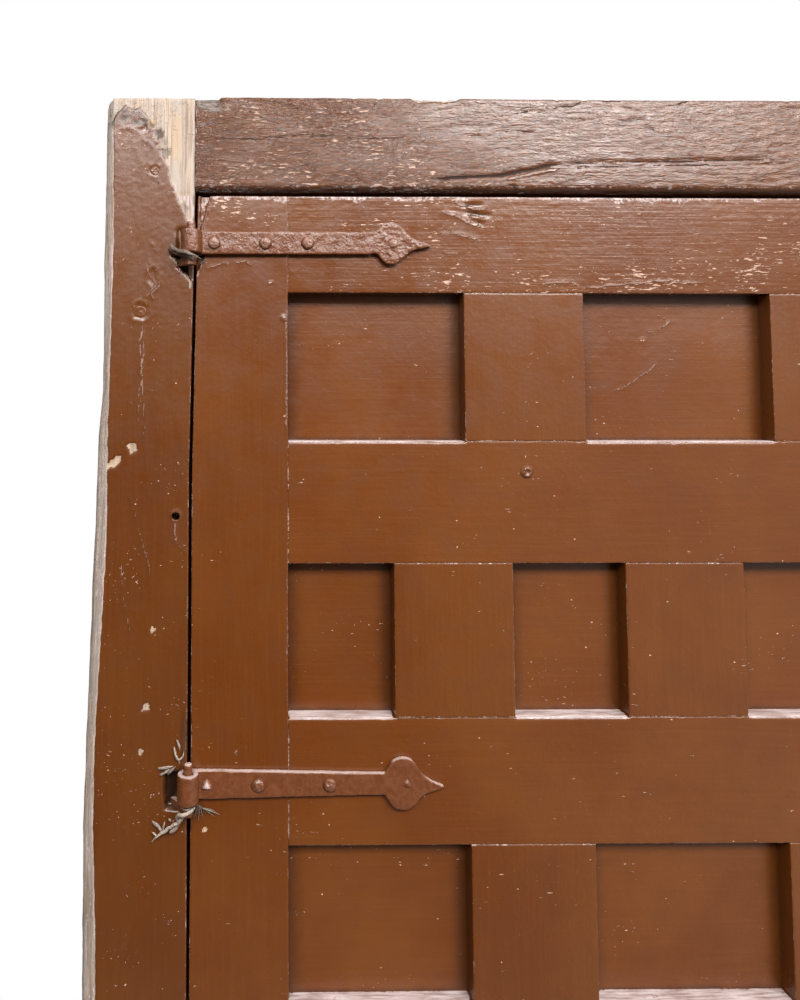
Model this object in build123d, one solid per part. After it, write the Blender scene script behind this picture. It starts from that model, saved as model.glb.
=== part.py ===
from build123d import *
import math
import os

# Panelled wooden door leaf hung on forged strap hinges in its wooden frame.
# Millimetres. X to the right seen from the front, Y into the wall, Z up.
# The origin is at the middle of the whole object's footprint, on the floor.

# Leaf: overall size, stiles, rails and muntins. The bays take what is left.
LEAF_W = 978.0
LEAF_H = 1991.0
ROW_COUNT = 7
STILE_W = 95.0
TOP_RAIL_H = 98.0
MID_RAIL_H = 120.0
BOTTOM_RAIL_H = 130.0
WIDE_SIDE_BAY_W = 178.0
WIDE_MUNTIN_W = 121.0
NARROW_MIDDLE_BAY_W = 112.0
NARROW_MUNTIN_W = 118.0
LEAF_T = 44.0
PANEL_RECESS = 18.0
PANEL_T = 12.0
GROOVE_D = 9.0
PANEL_PLAY = 1.0
GROOVE_PLAY = 0.15
LEDGE_BEVEL = 2.0
RAIL_TENON_L = 60.0
MUNTIN_TENON_L = 35.0
TENON_T = 14.0
TENON_SHOULDER = 1.0
JOINT_FIT = 0.2

# Frame: jambs and head
JAMB_W = 106.0
FRAME_D = 95.0
HEAD_H = 97.0
STOP_W = 15.0
STOP_GAP = 0.5
HINGE_GAP = 3.0
LOCK_GAP = 4.0
HEAD_GAP = 5.0
FLOOR_GAP = 8.0
HEAD_TENON_L = 70.0
HEAD_TENON_H = 62.0
HEAD_TENON_T = 30.0
HEAD_TENON_RISE = 6.0
HEAD_BEVEL = 6.0

# The hinge side is worn out of true towards the top
TOP_LEAN = 4.5
LEAN_LENGTH = 280.0
WORN_CORNER_W = 13.0
WORN_CORNER_H = 49.0
WORN_CORNER_D = 10.0

# Waney outer edge of the left post: drop from the top, inset of the outline,
# inset of the front face
WANE = (
    (0.0, 16.0, 26.0),
    (150.0, 14.5, 28.0),
    (300.0, 14.5, 25.0),
    (345.0, 10.5, 24.0),
    (440.0, 8.0, 24.5),
    (540.0, 5.5, 20.0),
    (640.0, 2.5, 15.0),
    (720.0, 0.0, 14.5),
    (820.0, 0.5, 18.0),
    (1050.0, 3.0, 20.0),
    (1350.0, 6.0, 19.0),
    (1650.0, 3.0, 15.0),
    (1900.0, 1.0, 19.0),
)
WANE_D = 26.0
WANE_BELLY = 0.32

# Damage to the head: broken corner and a chip in the top edge
NOTCH_W = 26.0
NOTCH_H = 9.0
NOTCH_D = 45.0
NOTCH_LIP_W = 5.0
NOTCH_LIP_H = 1.8
CHIP_X = 127.0
CHIP_W = 52.0
CHIP_H = 5.0
CHIP_D = 14.0
CHIP_DEEPEST = 16.0

# Worn hollow in the gap above the second hinge
HOLLOW_DROP = 535.0
HOLLOW_L = 54.0
HOLLOW_JAMB_DEPTH = 5.5
HOLLOW_LEAF_DEPTH = 2.5
HOLLOW_D = 12.0

# Fixing holes, pegs and plug
FIX_HOLE_R = 4.0
FIX_HOLE_INSET = 13.0
UPPER_FIX_DROP = 321.0
LOWER_FIX_Z = 500.0
HEAD_PEG_R = 5.0
HEAD_PEG_INSET = 36.5
HEAD_PEG_RISE = 20.5
LEAF_PEG_R = 4.5
LEAF_PEG_L = 34.0
LEAF_PEG_INSET = 30.0
LEAF_PEG_RISE = 20.0
PLUG_R = 7.0
PLUG_L = 14.0
PLUG_INSET = 50.0
PLUG_DROP = 118.0
TENON_NAIL_SHIFT = -1.0
TENON_NAIL_DROP = 28.5

# Strap hinges
STRAP_T = 6.0
EYE_R = 10.5
PIN_R = 4.5
PIN_PLAY = 0.1
PIN_STAND = 9.0
PACKING_R = 9.0
PACKING_T = 3.0
PACKING_PLAY = 0.1
LEG_H = 9.0
LEG_R = 5.5
SPIKE_L = 80.0
SPIKE_W = 9.0
SPIKE_TIP_W = 3.0
SPIKE_TURN = 37.0
SPIKE_FIT = 0.15
HINGE_RAILS = range(0, ROW_COUNT, 2)
SPADE_EYE_H = 23.5
SPADE_NECK_H = 22.5
SPADE_NECK = 179.0
DISC_EYE_H = 27.5
DISC_NECK_H = 20.0
DISC_NECK = 189.5
# Top and bottom edges of the two finials, from the neck to the tip, as distances
# along the strap from the end of its neck and heights from its middle line
SPADE_TOP = ((7.5, 13.5), (14.5, 20.0), (22.0, 21.5), (29.5, 19.0), (36.5, 12.5), (43.0, 6.0), (54.0, 1.5))
SPADE_BOTTOM = ((8.5, -12.0), (12.0, -17.0), (21.5, -21.5), (29.0, -18.5), (38.0, -11.0), (47.0, -6.0), (56.0, -4.5))
SPADE_TIP = (63.0, -2.0)
DISC_TOP = ((3.5, 15.0), (9.0, 21.5), (18.0, 24.5), (26.0, 22.5), (32.5, 15.5), (38.0, 8.0), (48.0, 1.5))
DISC_BOTTOM = ((2.5, -14.0), (6.5, -20.0), (18.0, -25.0), (25.0, -23.0), (32.0, -16.5), (38.5, -10.5), (51.0, -6.0))
DISC_TIP = (58.5, -2.5)

# Chiselled hollows beside and under the eyes
POCKET_W = 23.0
POCKET_D = 9.0
POCKET_TOE = 4.0
POCKET_DROP = 5.0
POCKET_FOOT = 12.0
SHALLOW_POCKET_W = 13.0
SHALLOW_POCKET_D = 3.0
EYE_RELIEF_D = 1.0
FUNNEL_LEFT = 17.0
FUNNEL_RIGHT = 11.0
FUNNEL_H = 24.0
FUNNEL_D = 13.0

# Strap nails: distance from the pin along each strap, and the kind of head
SPADE_NAILS = ((22.8, "rose"), (73.8, "dome"), (116.3, "dome"), (202.0, "rose"))
DISC_NAILS = ((17.7, "rose"), (67.2, "dome"), (136.2, "dome"), (211.0, "rose"))
NAIL_R = 2.5
NAIL_L = 34.0
NAIL_FIT = 0.15
HEAD_PLAY = 0.1
ROSE_W = 11.5
ROSE_H = 4.5
ROSE_CREST_W = 2.5
DOME_R = 6.5
DOME_H = 4.2
TENON_NAIL_HEAD_R = 7.0
TENON_NAIL_HEAD_H = 2.6

# Sliding bolt on the lock stile
BOLT_RAIL = ROW_COUNT // 2
BOLT_W = 20.0
BOLT_T = 8.0
BOLT_L = 190.0
BOLT_SETBACK = 6.0
BOLT_THROW = 55.0
BOLT_LIFT = 0.3
STAPLE_BAR = 5.0
STAPLE_PLAY = 0.5
STAPLE_LEG_L = 30.0
STAPLE_INSET = 18.0
STAPLE_FIT = 0.1
KNOB_STEM_R = 5.0
KNOB_STEM_L = 10.0
KNOB_R = 9.0
KNOB_SEAT = 2.0
KNOB_REST = 1.0

# Places that follow from the sizes above
INNER_W = LEAF_W - 2 * STILE_W
WIDE_MIDDLE_BAY_W = INNER_W - 2 * WIDE_SIDE_BAY_W - 2 * WIDE_MUNTIN_W
NARROW_SIDE_BAY_W = (INNER_W - 2 * NARROW_MIDDLE_BAY_W - 3 * NARROW_MUNTIN_W) / 2
BAY_H = (LEAF_H - TOP_RAIL_H - (ROW_COUNT - 1) * MID_RAIL_H - BOTTOM_RAIL_H) / ROW_COUNT
CLEAR_W = HINGE_GAP + LEAF_W + LOCK_GAP
FRAME_W = CLEAR_W + 2 * JAMB_W
LEAF_TOP = FLOOR_GAP + LEAF_H
HEAD_BOTTOM = LEAF_TOP + HEAD_GAP
FRAME_H = HEAD_BOTTOM + HEAD_H
KNOB_REACH = BOLT_LIFT + BOLT_T + KNOB_STEM_L + 2 * KNOB_R - KNOB_SEAT
FRONT = (KNOB_REACH - FRAME_D) / 2
BACK = FRONT + FRAME_D
LEFT = -FRAME_W / 2
RIGHT = FRAME_W / 2
JAMB_L_FACE = LEFT + JAMB_W
JAMB_R_FACE = RIGHT - JAMB_W
LEAF_L = JAMB_L_FACE + HINGE_GAP
LEAF_R = JAMB_R_FACE - LOCK_GAP
INNER_L = LEAF_L + STILE_W
INNER_R = LEAF_R - STILE_W
STOP_FACE = FRONT + LEAF_T + STOP_GAP
TENON_MID = FRONT + PANEL_RECESS + PANEL_T / 2
AXIS_X = LEAF_L - HINGE_GAP / 2
AXIS_Y = FRONT - EYE_R
PAST = 3.0


def block(x0, x1, y0, y1, z0, z1):
    """Box between two corners."""
    return Pos((x0 + x1) / 2, (y0 + y1) / 2, (z0 + z1) / 2) * Box(x1 - x0, y1 - y0, z1 - z0)


def front_prism(points, y0, y1):
    """Solid with an outline in the front view, from depth y0 to depth y1."""
    outline = Polyline(*[(x, y0, z) for x, z in points], close=True)
    return extrude(make_face(outline), amount=y1 - y0, dir=(0, 1, 0))


def plan_prism(points, z0, z1):
    """Solid with an outline seen from above, from height z0 to height z1."""
    outline = Polyline(*[(x, y, z0) for x, y in points], close=True)
    return extrude(make_face(outline), amount=z1 - z0, dir=(0, 0, 1))


def rod(x, z, radius, y0, y1):
    """Round bar along the depth."""
    return Pos(x, (y0 + y1) / 2, z) * Rot(90, 0, 0) * Cylinder(radius, y1 - y0)


def cut(body, tools):
    """Body less a list of tools."""
    return body.cut(*tools) if tools else body


def rail_heights():
    """Lowest and highest z of each rail, from the top down."""
    spans = []
    top = LEAF_TOP
    for index in range(ROW_COUNT + 1):
        height = TOP_RAIL_H if index == 0 else BOTTOM_RAIL_H if index == ROW_COUNT else MID_RAIL_H
        spans.append((top - height, top))
        top -= height + BAY_H
    return spans


def row_layout(row):
    """Bays and muntins of one row, each as a list of (left x, right x)."""
    if row % 2 == 0:
        bays = [WIDE_SIDE_BAY_W, WIDE_MIDDLE_BAY_W, WIDE_SIDE_BAY_W]
        muntin = WIDE_MUNTIN_W
    else:
        bays = [NARROW_SIDE_BAY_W, NARROW_MIDDLE_BAY_W, NARROW_MIDDLE_BAY_W, NARROW_SIDE_BAY_W]
        muntin = NARROW_MUNTIN_W
    bay_spans = []
    muntin_spans = []
    x = INNER_L
    for index, width in enumerate(bays):
        bay_spans.append((x, x + width))
        x += width
        if index < len(bays) - 1:
            muntin_spans.append((x, x + muntin))
            x += muntin
    return bay_spans, muntin_spans


RAILS = rail_heights()
ROWS = [row_layout(row) for row in range(ROW_COUNT)]


def rail_middle(index):
    """Height of the middle of a rail."""
    return sum(RAILS[index]) / 2


def panel_box(x0, x1, row, grow, play):
    """A panel with its tongues, or the groove around it when grown."""
    z0 = RAILS[row + 1][1]
    z1 = RAILS[row][0]
    y0 = FRONT + PANEL_RECESS
    return block(x0 - grow, x1 + grow, y0 - play, y0 + PANEL_T + play, z0 - grow, z1 + grow)


def row_grooves(row):
    """The grooves that the panels of one row sit in."""
    return [panel_box(x0, x1, row, GROOVE_D, GROOVE_PLAY) for x0, x1 in ROWS[row][0]]


def rail_tenon(index, side, fit):
    """Tenon at one end of a rail, or its mortise when given a fit."""
    z0, z1 = RAILS[index]
    z0 += GROOVE_D + TENON_SHOULDER - fit
    z1 -= GROOVE_D + TENON_SHOULDER - fit
    inside = PAST if fit else 0
    if side == "hinge":
        x0, x1 = INNER_L - RAIL_TENON_L - fit, INNER_L + inside
    else:
        x0, x1 = INNER_R - inside, INNER_R + RAIL_TENON_L + fit
    return block(x0, x1, TENON_MID - TENON_T / 2 - fit, TENON_MID + TENON_T / 2 + fit, z0, z1)


def muntin_tenon(x0, x1, row, end, fit):
    """Stub tenon at the top or bottom of a muntin, or its mortise when given a fit."""
    shoulder = GROOVE_D + TENON_SHOULDER - fit
    reach = MUNTIN_TENON_L + fit
    if end == "top":
        z0, z1 = RAILS[row][0] - fit, RAILS[row][0] + reach
    else:
        z0, z1 = RAILS[row + 1][1] - reach, RAILS[row + 1][1] + fit
    return block(x0 + shoulder, x1 - shoulder, TENON_MID - TENON_T / 2 - fit,
                 TENON_MID + TENON_T / 2 + fit, z0, z1)


def ledge_bevel(x0, x1, z):
    """Wedge that eases the lower front edge of a panel opening."""
    wedge = Polyline((x0, FRONT - PAST, z + PAST), (x0, FRONT + LEDGE_BEVEL + PAST, z + PAST),
                     (x0, FRONT - PAST, z - LEDGE_BEVEL - PAST), close=True)
    return extrude(make_face(wedge), amount=x1 - x0, dir=(1, 0, 0))


def hinge_style(index):
    """Name of the finial of a hinge: they alternate down the door."""
    return "spade" if index % 2 == 0 else "disc"


def eye_height(style):
    """Height of the rolled eye."""
    return SPADE_EYE_H if style == "spade" else DISC_EYE_H


def strap_nail_places(index):
    """Places and kinds of the nails of one strap: (x, z, kind)."""
    z = rail_middle(HINGE_RAILS[index])
    nails = SPADE_NAILS if hinge_style(index) == "spade" else DISC_NAILS
    return [(AXIS_X + reach, z, kind) for reach, kind in nails]


def peg_places():
    """Middle of each peg that locks a rail's tenon, driven from the back."""
    places = []
    for index in range(ROW_COUNT + 1):
        z = rail_middle(index) + LEAF_PEG_RISE
        places.append((INNER_L - LEAF_PEG_INSET, z))
        places.append((INNER_R + LEAF_PEG_INSET, z))
    return places


def tenon_nail_place():
    """Middle of the nail through the first muntin's lower tenon."""
    x0, x1 = ROWS[0][1][0]
    return (x0 + x1) / 2 + TENON_NAIL_SHIFT, RAILS[1][1] - TENON_NAIL_DROP


def leaf_bores():
    """Holes in the leaf's timber for pegs, nails and staples."""
    bores = [rod(x, z, LEAF_PEG_R, FRONT + LEAF_T - LEAF_PEG_L, FRONT + LEAF_T + PAST) for x, z in peg_places()]
    for index in range(len(HINGE_RAILS)):
        for x, z, _ in strap_nail_places(index):
            bores.append(rod(x, z, NAIL_R + NAIL_FIT, FRONT - PAST, FRONT + NAIL_L + NAIL_FIT))
    x, z = tenon_nail_place()
    bores.append(rod(x, z, NAIL_R + NAIL_FIT, FRONT - PAST, FRONT + NAIL_L + NAIL_FIT))
    for x in staple_places():
        bores += staple_legs(x, STAPLE_FIT)
    return bores


def touching(piece, tools):
    """The tools whose boxes meet the piece's box."""
    box = piece.bounding_box()
    near = []
    for tool in tools:
        other = tool.bounding_box()
        apart = (other.min.X > box.max.X or other.max.X < box.min.X or other.min.Y > box.max.Y
                 or other.max.Y < box.min.Y or other.min.Z > box.max.Z or other.max.Z < box.min.Z)
        if not apart:
            near.append(tool)
    return near


def gap_hollow(depth, face_x, side):
    """Worn scoop in an arris beside the gap, as part of a large round bar."""
    radius = ((HOLLOW_L / 2) ** 2 + depth ** 2) / (2 * depth)
    x = face_x - side * (radius - depth)
    return rod(x, LEAF_TOP - HOLLOW_DROP, radius, FRONT - PAST, FRONT + HOLLOW_D)


def eye_pocket(index):
    """Chiselled pocket in the left jamb beside and under an eye."""
    z = rail_middle(HINGE_RAILS[index])
    half = eye_height(hinge_style(index)) / 2
    shallow = hinge_style(index) == "spade"
    width = SHALLOW_POCKET_W if shallow else POCKET_W
    depth = SHALLOW_POCKET_D if shallow else POCKET_D
    left = JAMB_L_FACE - width
    right = JAMB_L_FACE + TOP_LEAN + PAST
    plan = [(left, FRONT - PAST), (left, FRONT), (left + POCKET_TOE, FRONT + depth),
            (right, FRONT + depth), (right, FRONT - PAST)]
    top = z + half + PAST if shallow else z + half - POCKET_DROP
    return plan_prism(plan, z - half - POCKET_FOOT, top)


def eye_relief(index):
    """Shallow cut behind an eye, so that it turns clear of the jamb."""
    z = rail_middle(HINGE_RAILS[index])
    half = eye_height(hinge_style(index)) / 2 + PAST
    left = AXIS_X - EYE_R
    right = JAMB_L_FACE + TOP_LEAN + PAST
    return block(left, right, FRONT - PAST, FRONT + EYE_RELIEF_D, z - half, z + half)


def funnel(index):
    """Hollow chopped under the eye into both jamb and leaf, narrowing downwards."""
    top = rail_middle(HINGE_RAILS[index]) - eye_height(hinge_style(index)) / 2
    points = [(AXIS_X - FUNNEL_LEFT, top), (AXIS_X + FUNNEL_RIGHT, top), (AXIS_X, top - FUNNEL_H)]
    return front_prism(points, FRONT - PAST, FRONT + FUNNEL_D)


def spike(index, fit):
    """Tapered square spike of a pintle, driven slantwise into the jamb."""
    style = hinge_style(index)
    top = rail_middle(HINGE_RAILS[index]) - eye_height(style) / 2 - PACKING_T
    turn = math.radians(SPIKE_TURN)
    way = Vector(-math.sin(turn), math.cos(turn), 0)
    root = Vector(AXIS_X, AXIS_Y, top - LEG_H / 2)
    tip = root + way * (SPIKE_L + fit)
    wide = Plane(origin=root, x_dir=(0, 0, 1), z_dir=way) * Rectangle(LEG_H + 2 * fit, SPIKE_W + 2 * fit)
    point = Plane(origin=tip, x_dir=(0, 0, 1), z_dir=way) * Rectangle(SPIKE_TIP_W + 2 * fit, SPIKE_TIP_W + 2 * fit)
    return loft([wide, point], ruled=True)


def make_pintle(index):
    """Upright pin with its leg and spike."""
    style = hinge_style(index)
    middle = rail_middle(HINGE_RAILS[index])
    half = eye_height(style) / 2
    foot_top = middle - half - PACKING_T
    foot = Pos(AXIS_X, AXIS_Y, foot_top - LEG_H / 2) * Cylinder(LEG_R, LEG_H)
    pin_top = middle + half + PIN_STAND
    pin = Pos(AXIS_X, AXIS_Y, (foot_top - LEG_H / 2 + pin_top) / 2) * Cylinder(PIN_R, pin_top - foot_top + LEG_H / 2)
    crown = fillet(pin.edges().sort_by(Axis.Z)[-1], PIN_R / 2)
    return crown + foot + spike(index, 0)


def make_packing(index):
    """Ring of packing between the eye and the pintle's foot."""
    z = rail_middle(HINGE_RAILS[index]) - eye_height(hinge_style(index)) / 2 - PACKING_T / 2
    ring = Cylinder(PACKING_R, PACKING_T - PACKING_PLAY) - Cylinder(PIN_R + PIN_PLAY, PACKING_T)
    return Pos(AXIS_X, AXIS_Y, z) * ring


def make_strap(index):
    """Forged strap with its rolled eye and finial."""
    style = hinge_style(index)
    spade = style == "spade"
    z = rail_middle(HINGE_RAILS[index])
    eye_h = eye_height(style)
    neck_x = AXIS_X + (SPADE_NECK if spade else DISC_NECK)
    neck_half = (SPADE_NECK_H if spade else DISC_NECK_H) / 2
    top = SPADE_TOP if spade else DISC_TOP
    bottom = SPADE_BOTTOM if spade else DISC_BOTTOM
    tip = SPADE_TIP if spade else DISC_TIP

    def place(point):
        return (neck_x + point[0], FRONT, z + point[1])

    tip_point = place(tip)
    upper = Spline(place((0, neck_half)), *[place(p) for p in top], tip_point)
    lower = Spline(tip_point, *[place(p) for p in reversed(bottom)], place((0, -neck_half)))
    edges = [
        Line((AXIS_X, FRONT, z + eye_h / 2), place((0, neck_half))),
        upper,
        lower,
        Line(place((0, -neck_half)), (AXIS_X, FRONT, z - eye_h / 2)),
        Line((AXIS_X, FRONT, z - eye_h / 2), (AXIS_X, FRONT, z + eye_h / 2)),
    ]
    plate = extrude(make_face(edges), amount=STRAP_T, dir=(0, -1, 0))
    eye = Pos(AXIS_X, AXIS_Y, z) * Cylinder(EYE_R, eye_h)
    bore = Pos(AXIS_X, AXIS_Y, z) * Cylinder(PIN_R + PIN_PLAY, eye_h + 2 * PAST)
    holes = [rod(x, nail_z, NAIL_R + NAIL_FIT, FRONT - STRAP_T - PAST, FRONT + PAST)
             for x, nail_z, _ in strap_nail_places(index)]
    return cut(plate + eye, [bore] + holes)


def rose_head(x, z, base_y):
    """Four-faced hammered nail head."""
    base = Plane(origin=(x, base_y, z), x_dir=(1, 0, 0), z_dir=(0, -1, 0)) * Rectangle(ROSE_W, ROSE_W)
    crest = Plane(origin=(x, base_y - ROSE_H, z), x_dir=(1, 0, 0), z_dir=(0, -1, 0))
    crest = crest * Rectangle(ROSE_CREST_W, ROSE_CREST_W)
    return loft([base, crest], ruled=True)


def dome_head(x, z, base_y, radius, height):
    """Round nail head: the cap of a ball."""
    ball = (radius ** 2 + height ** 2) / (2 * height)
    middle_y = base_y + ball - height
    keep = block(x - ball, x + ball, base_y - height - PAST, base_y, z - ball, z + ball)
    return (Pos(x, middle_y, z) * Sphere(ball)) & keep


def make_nail(x, z, kind, base_y):
    """Nail with its head on base_y and its shank in the timber."""
    shank = rod(x, z, NAIL_R, base_y - HEAD_PLAY, FRONT + NAIL_L)
    if kind == "rose":
        return rose_head(x, z, base_y) + shank
    if kind == "dome":
        return dome_head(x, z, base_y, DOME_R, DOME_H) + shank
    return dome_head(x, z, base_y, TENON_NAIL_HEAD_R, TENON_NAIL_HEAD_H) + shank


def bolt_middle():
    """Height of the bolt's middle line."""
    return rail_middle(BOLT_RAIL)


def staple_places():
    """Middle x of the two staples on the leaf, the outer one first."""
    outer = LEAF_R - STAPLE_INSET
    return outer, outer - STAPLE_BAR - BOLT_THROW - 2 * KNOB_STEM_R - 2 * KNOB_REST


def staple_legs(x, fit):
    """The two legs of a staple inside the timber."""
    z = bolt_middle()
    near = BOLT_W / 2 + STAPLE_PLAY
    half = STAPLE_BAR / 2 + fit
    back = FRONT + STAPLE_LEG_L + fit
    front = FRONT - BOLT_LIFT - BOLT_T - STAPLE_PLAY
    return [
        block(x - half, x + half, front, back, z + near - fit, z + near + STAPLE_BAR + fit),
        block(x - half, x + half, front, back, z - near - STAPLE_BAR - fit, z - near + fit),
    ]


def make_staple(x):
    """Staple that straddles the bolt's bar."""
    z = bolt_middle()
    reach = BOLT_W / 2 + STAPLE_PLAY + STAPLE_BAR
    inner = FRONT - BOLT_LIFT - BOLT_T - STAPLE_PLAY
    crown = block(x - STAPLE_BAR / 2, x + STAPLE_BAR / 2, inner - STAPLE_BAR, inner, z - reach, z + reach)
    legs = staple_legs(x, 0)
    return crown + legs[0] + legs[1]


def keeper_x():
    """Middle x of the keeper on the right jamb."""
    return JAMB_R_FACE + STAPLE_INSET


def make_bolt():
    """Flat bar with a stem and a round knob, shown drawn back."""
    z = bolt_middle()
    right = LEAF_R - BOLT_SETBACK
    face = FRONT - BOLT_LIFT - BOLT_T
    bar = block(right - BOLT_L, right, face, FRONT - BOLT_LIFT, z - BOLT_W / 2, z + BOLT_W / 2)
    knob_x = staple_places()[1] + STAPLE_BAR / 2 + KNOB_REST + KNOB_STEM_R
    stem = rod(knob_x, z, KNOB_STEM_R, face - KNOB_STEM_L - KNOB_R / 2, face + BOLT_T / 2)
    knob = Pos(knob_x, face - KNOB_STEM_L - KNOB_R + KNOB_SEAT, z) * Sphere(KNOB_R)
    return bar + stem + knob


def fixing_places():
    """Fixing holes through the jambs: the corners of a rectangle."""
    places = []
    for x in (JAMB_L_FACE - FIX_HOLE_INSET, JAMB_R_FACE + FIX_HOLE_INSET):
        for z in (LOWER_FIX_Z, LEAF_TOP - UPPER_FIX_DROP):
            places.append((x, z))
    return places


def head_tenon(side, fit):
    """Tenon at one end of the head, or its mortise when given a fit."""
    inside = PAST if fit else 0
    z0 = HEAD_BOTTOM + HEAD_TENON_RISE - fit
    z1 = HEAD_BOTTOM + HEAD_TENON_RISE + HEAD_TENON_H + fit
    mid = (FRONT + BACK) / 2
    y0, y1 = mid - HEAD_TENON_T / 2 - fit, mid + HEAD_TENON_T / 2 + fit
    if side == "hinge":
        face = JAMB_L_FACE + TOP_LEAN
        return block(face - HEAD_TENON_L - fit, face + inside, y0, y1, z0, z1)
    return block(JAMB_R_FACE - inside, JAMB_R_FACE + HEAD_TENON_L + fit, y0, y1, z0, z1)


def head_peg_places():
    """Pegs through the head's tenons."""
    z = HEAD_BOTTOM + HEAD_PEG_RISE
    return [(JAMB_L_FACE - HEAD_PEG_INSET, z), (JAMB_R_FACE + HEAD_PEG_INSET, z)]


def wane_section(drop, edge_inset, face_inset):
    """Plan of what is missing outside the waney edge at one height."""
    far = LEFT - WANE_D
    span = face_inset - edge_inset
    points = [
        (far, FRONT - PAST),
        (LEFT + face_inset, FRONT - PAST),
        (LEFT + face_inset, FRONT),
        (LEFT + edge_inset + WANE_BELLY * span, FRONT + WANE_BELLY * WANE_D),
        (LEFT + edge_inset, FRONT + WANE_D),
        (LEFT + edge_inset, BACK + PAST),
        (far, BACK + PAST),
    ]
    z = FRAME_H - drop
    return make_face(Polyline(*[(x, y, z) for x, y in points], close=True))


def wane_cutter():
    """Everything outside the waney edge of the left post."""
    rows = [(-PAST,) + WANE[0][1:]] + list(WANE[1:])
    rows.append((FRAME_H + PAST,) + WANE[-1][1:])
    return loft([wane_section(*row) for row in rows], ruled=True)


def make_left_jamb():
    """Left post, with its rebate, waney edge, mortise and chiselled hollows."""
    lean_x = JAMB_L_FACE + TOP_LEAN
    outline = [(LEFT, 0), (JAMB_L_FACE, 0), (JAMB_L_FACE, LEAF_TOP - LEAN_LENGTH), (lean_x, LEAF_TOP),
               (lean_x, FRAME_H), (LEFT, FRAME_H)]
    post = front_prism(outline, FRONT, BACK)
    stop = block(JAMB_L_FACE - PAST, lean_x + STOP_W, STOP_FACE, BACK, 0, HEAD_BOTTOM)
    tools = [wane_cutter(), head_tenon("hinge", JOINT_FIT), gap_hollow(HOLLOW_JAMB_DEPTH, JAMB_L_FACE, -1)]
    for index in range(len(HINGE_RAILS)):
        tools += [eye_pocket(index), eye_relief(index), spike(index, SPIKE_FIT)]
        if hinge_style(index) == "spade":
            tools.append(funnel(index))
    tools += [rod(x, z, FIX_HOLE_R, FRONT - PAST, BACK + PAST) for x, z in fixing_places()[:2]]
    tools.append(rod(*head_peg_places()[0], HEAD_PEG_R, FRONT - PAST, BACK + PAST))
    tools.append(rod(JAMB_L_FACE - PLUG_INSET, LEAF_TOP - PLUG_DROP, PLUG_R, FRONT - PAST, FRONT + PLUG_L))
    return cut(post + stop, tools)


def make_right_jamb():
    """Right post, plainly squared."""
    post = block(JAMB_R_FACE, RIGHT, FRONT, BACK, 0, FRAME_H)
    stop = block(JAMB_R_FACE - STOP_W, JAMB_R_FACE + PAST, STOP_FACE, BACK, 0, HEAD_BOTTOM)
    tools = [head_tenon("lock", JOINT_FIT)]
    tools += [rod(x, z, FIX_HOLE_R, FRONT - PAST, BACK + PAST) for x, z in fixing_places()[2:]]
    tools.append(rod(*head_peg_places()[1], HEAD_PEG_R, FRONT - PAST, BACK + PAST))
    tools += staple_legs(keeper_x(), STAPLE_FIT)
    return cut(post + stop, tools)


def make_head():
    """Head between the posts, with a stop, tenons and its old damage."""
    left = JAMB_L_FACE + TOP_LEAN
    body = block(left, JAMB_R_FACE, FRONT, BACK, HEAD_BOTTOM, FRAME_H)
    stop = block(left + STOP_W, JAMB_R_FACE - STOP_W, STOP_FACE, BACK, HEAD_BOTTOM - STOP_W, HEAD_BOTTOM + PAST)
    solid = body + stop + head_tenon("hinge", 0) + head_tenon("lock", 0)
    reach = HEAD_BEVEL + PAST
    bevel = Polyline((left, FRONT - PAST, HEAD_BOTTOM - PAST), (left, FRONT - PAST, HEAD_BOTTOM + reach),
                     (left, FRONT + reach, HEAD_BOTTOM - PAST), close=True)
    notch = [(left - PAST, FRAME_H - NOTCH_H), (left + NOTCH_W - NOTCH_LIP_W, FRAME_H - NOTCH_H + NOTCH_LIP_H),
             (left + NOTCH_W, FRAME_H + PAST), (left - PAST, FRAME_H + PAST)]
    chip_x = INNER_L + CHIP_X
    chip = [(chip_x, FRAME_H + PAST), (chip_x + CHIP_DEEPEST, FRAME_H - CHIP_H), (chip_x + CHIP_W, FRAME_H + PAST)]
    tools = [
        extrude(make_face(bevel), amount=JAMB_R_FACE - left, dir=(1, 0, 0)),
        front_prism(notch, FRONT - PAST, FRONT + NOTCH_D),
        front_prism(chip, FRONT - PAST, FRONT + CHIP_D),
    ]
    tools += [rod(x, z, HEAD_PEG_R, FRONT - PAST, BACK + PAST) for x, z in head_peg_places()]
    return cut(solid, tools)


def make_hinge_stile(bores):
    """Hinge stile, worn out of true and whittled at its top corner."""
    lean_x = LEAF_L + TOP_LEAN
    outline = [(LEAF_L, FLOOR_GAP), (INNER_L, FLOOR_GAP), (INNER_L, LEAF_TOP), (lean_x, LEAF_TOP),
               (LEAF_L, LEAF_TOP - LEAN_LENGTH)]
    stile = front_prism(outline, FRONT, FRONT + LEAF_T)
    worn = [(lean_x - PAST, LEAF_TOP - WORN_CORNER_H), (lean_x + WORN_CORNER_W, LEAF_TOP + PAST),
            (lean_x - PAST, LEAF_TOP + PAST)]
    tools = [front_prism(worn, FRONT - PAST, FRONT + WORN_CORNER_D)]
    tools.append(gap_hollow(HOLLOW_LEAF_DEPTH, LEAF_L, 1))
    tools += [rail_tenon(index, "hinge", JOINT_FIT) for index in range(ROW_COUNT + 1)]
    tools += [funnel(index) for index in range(len(HINGE_RAILS)) if hinge_style(index) == "spade"]
    for row in range(ROW_COUNT):
        tools += row_grooves(row)
    return cut(stile, touching(stile, tools + bores))


def make_lock_stile(bores):
    """Lock stile, straight and square."""
    stile = block(INNER_R, LEAF_R, FRONT, FRONT + LEAF_T, FLOOR_GAP, LEAF_TOP)
    tools = [rail_tenon(index, "lock", JOINT_FIT) for index in range(ROW_COUNT + 1)]
    for row in range(ROW_COUNT):
        tools += row_grooves(row)
    return cut(stile, touching(stile, tools + bores))


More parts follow.
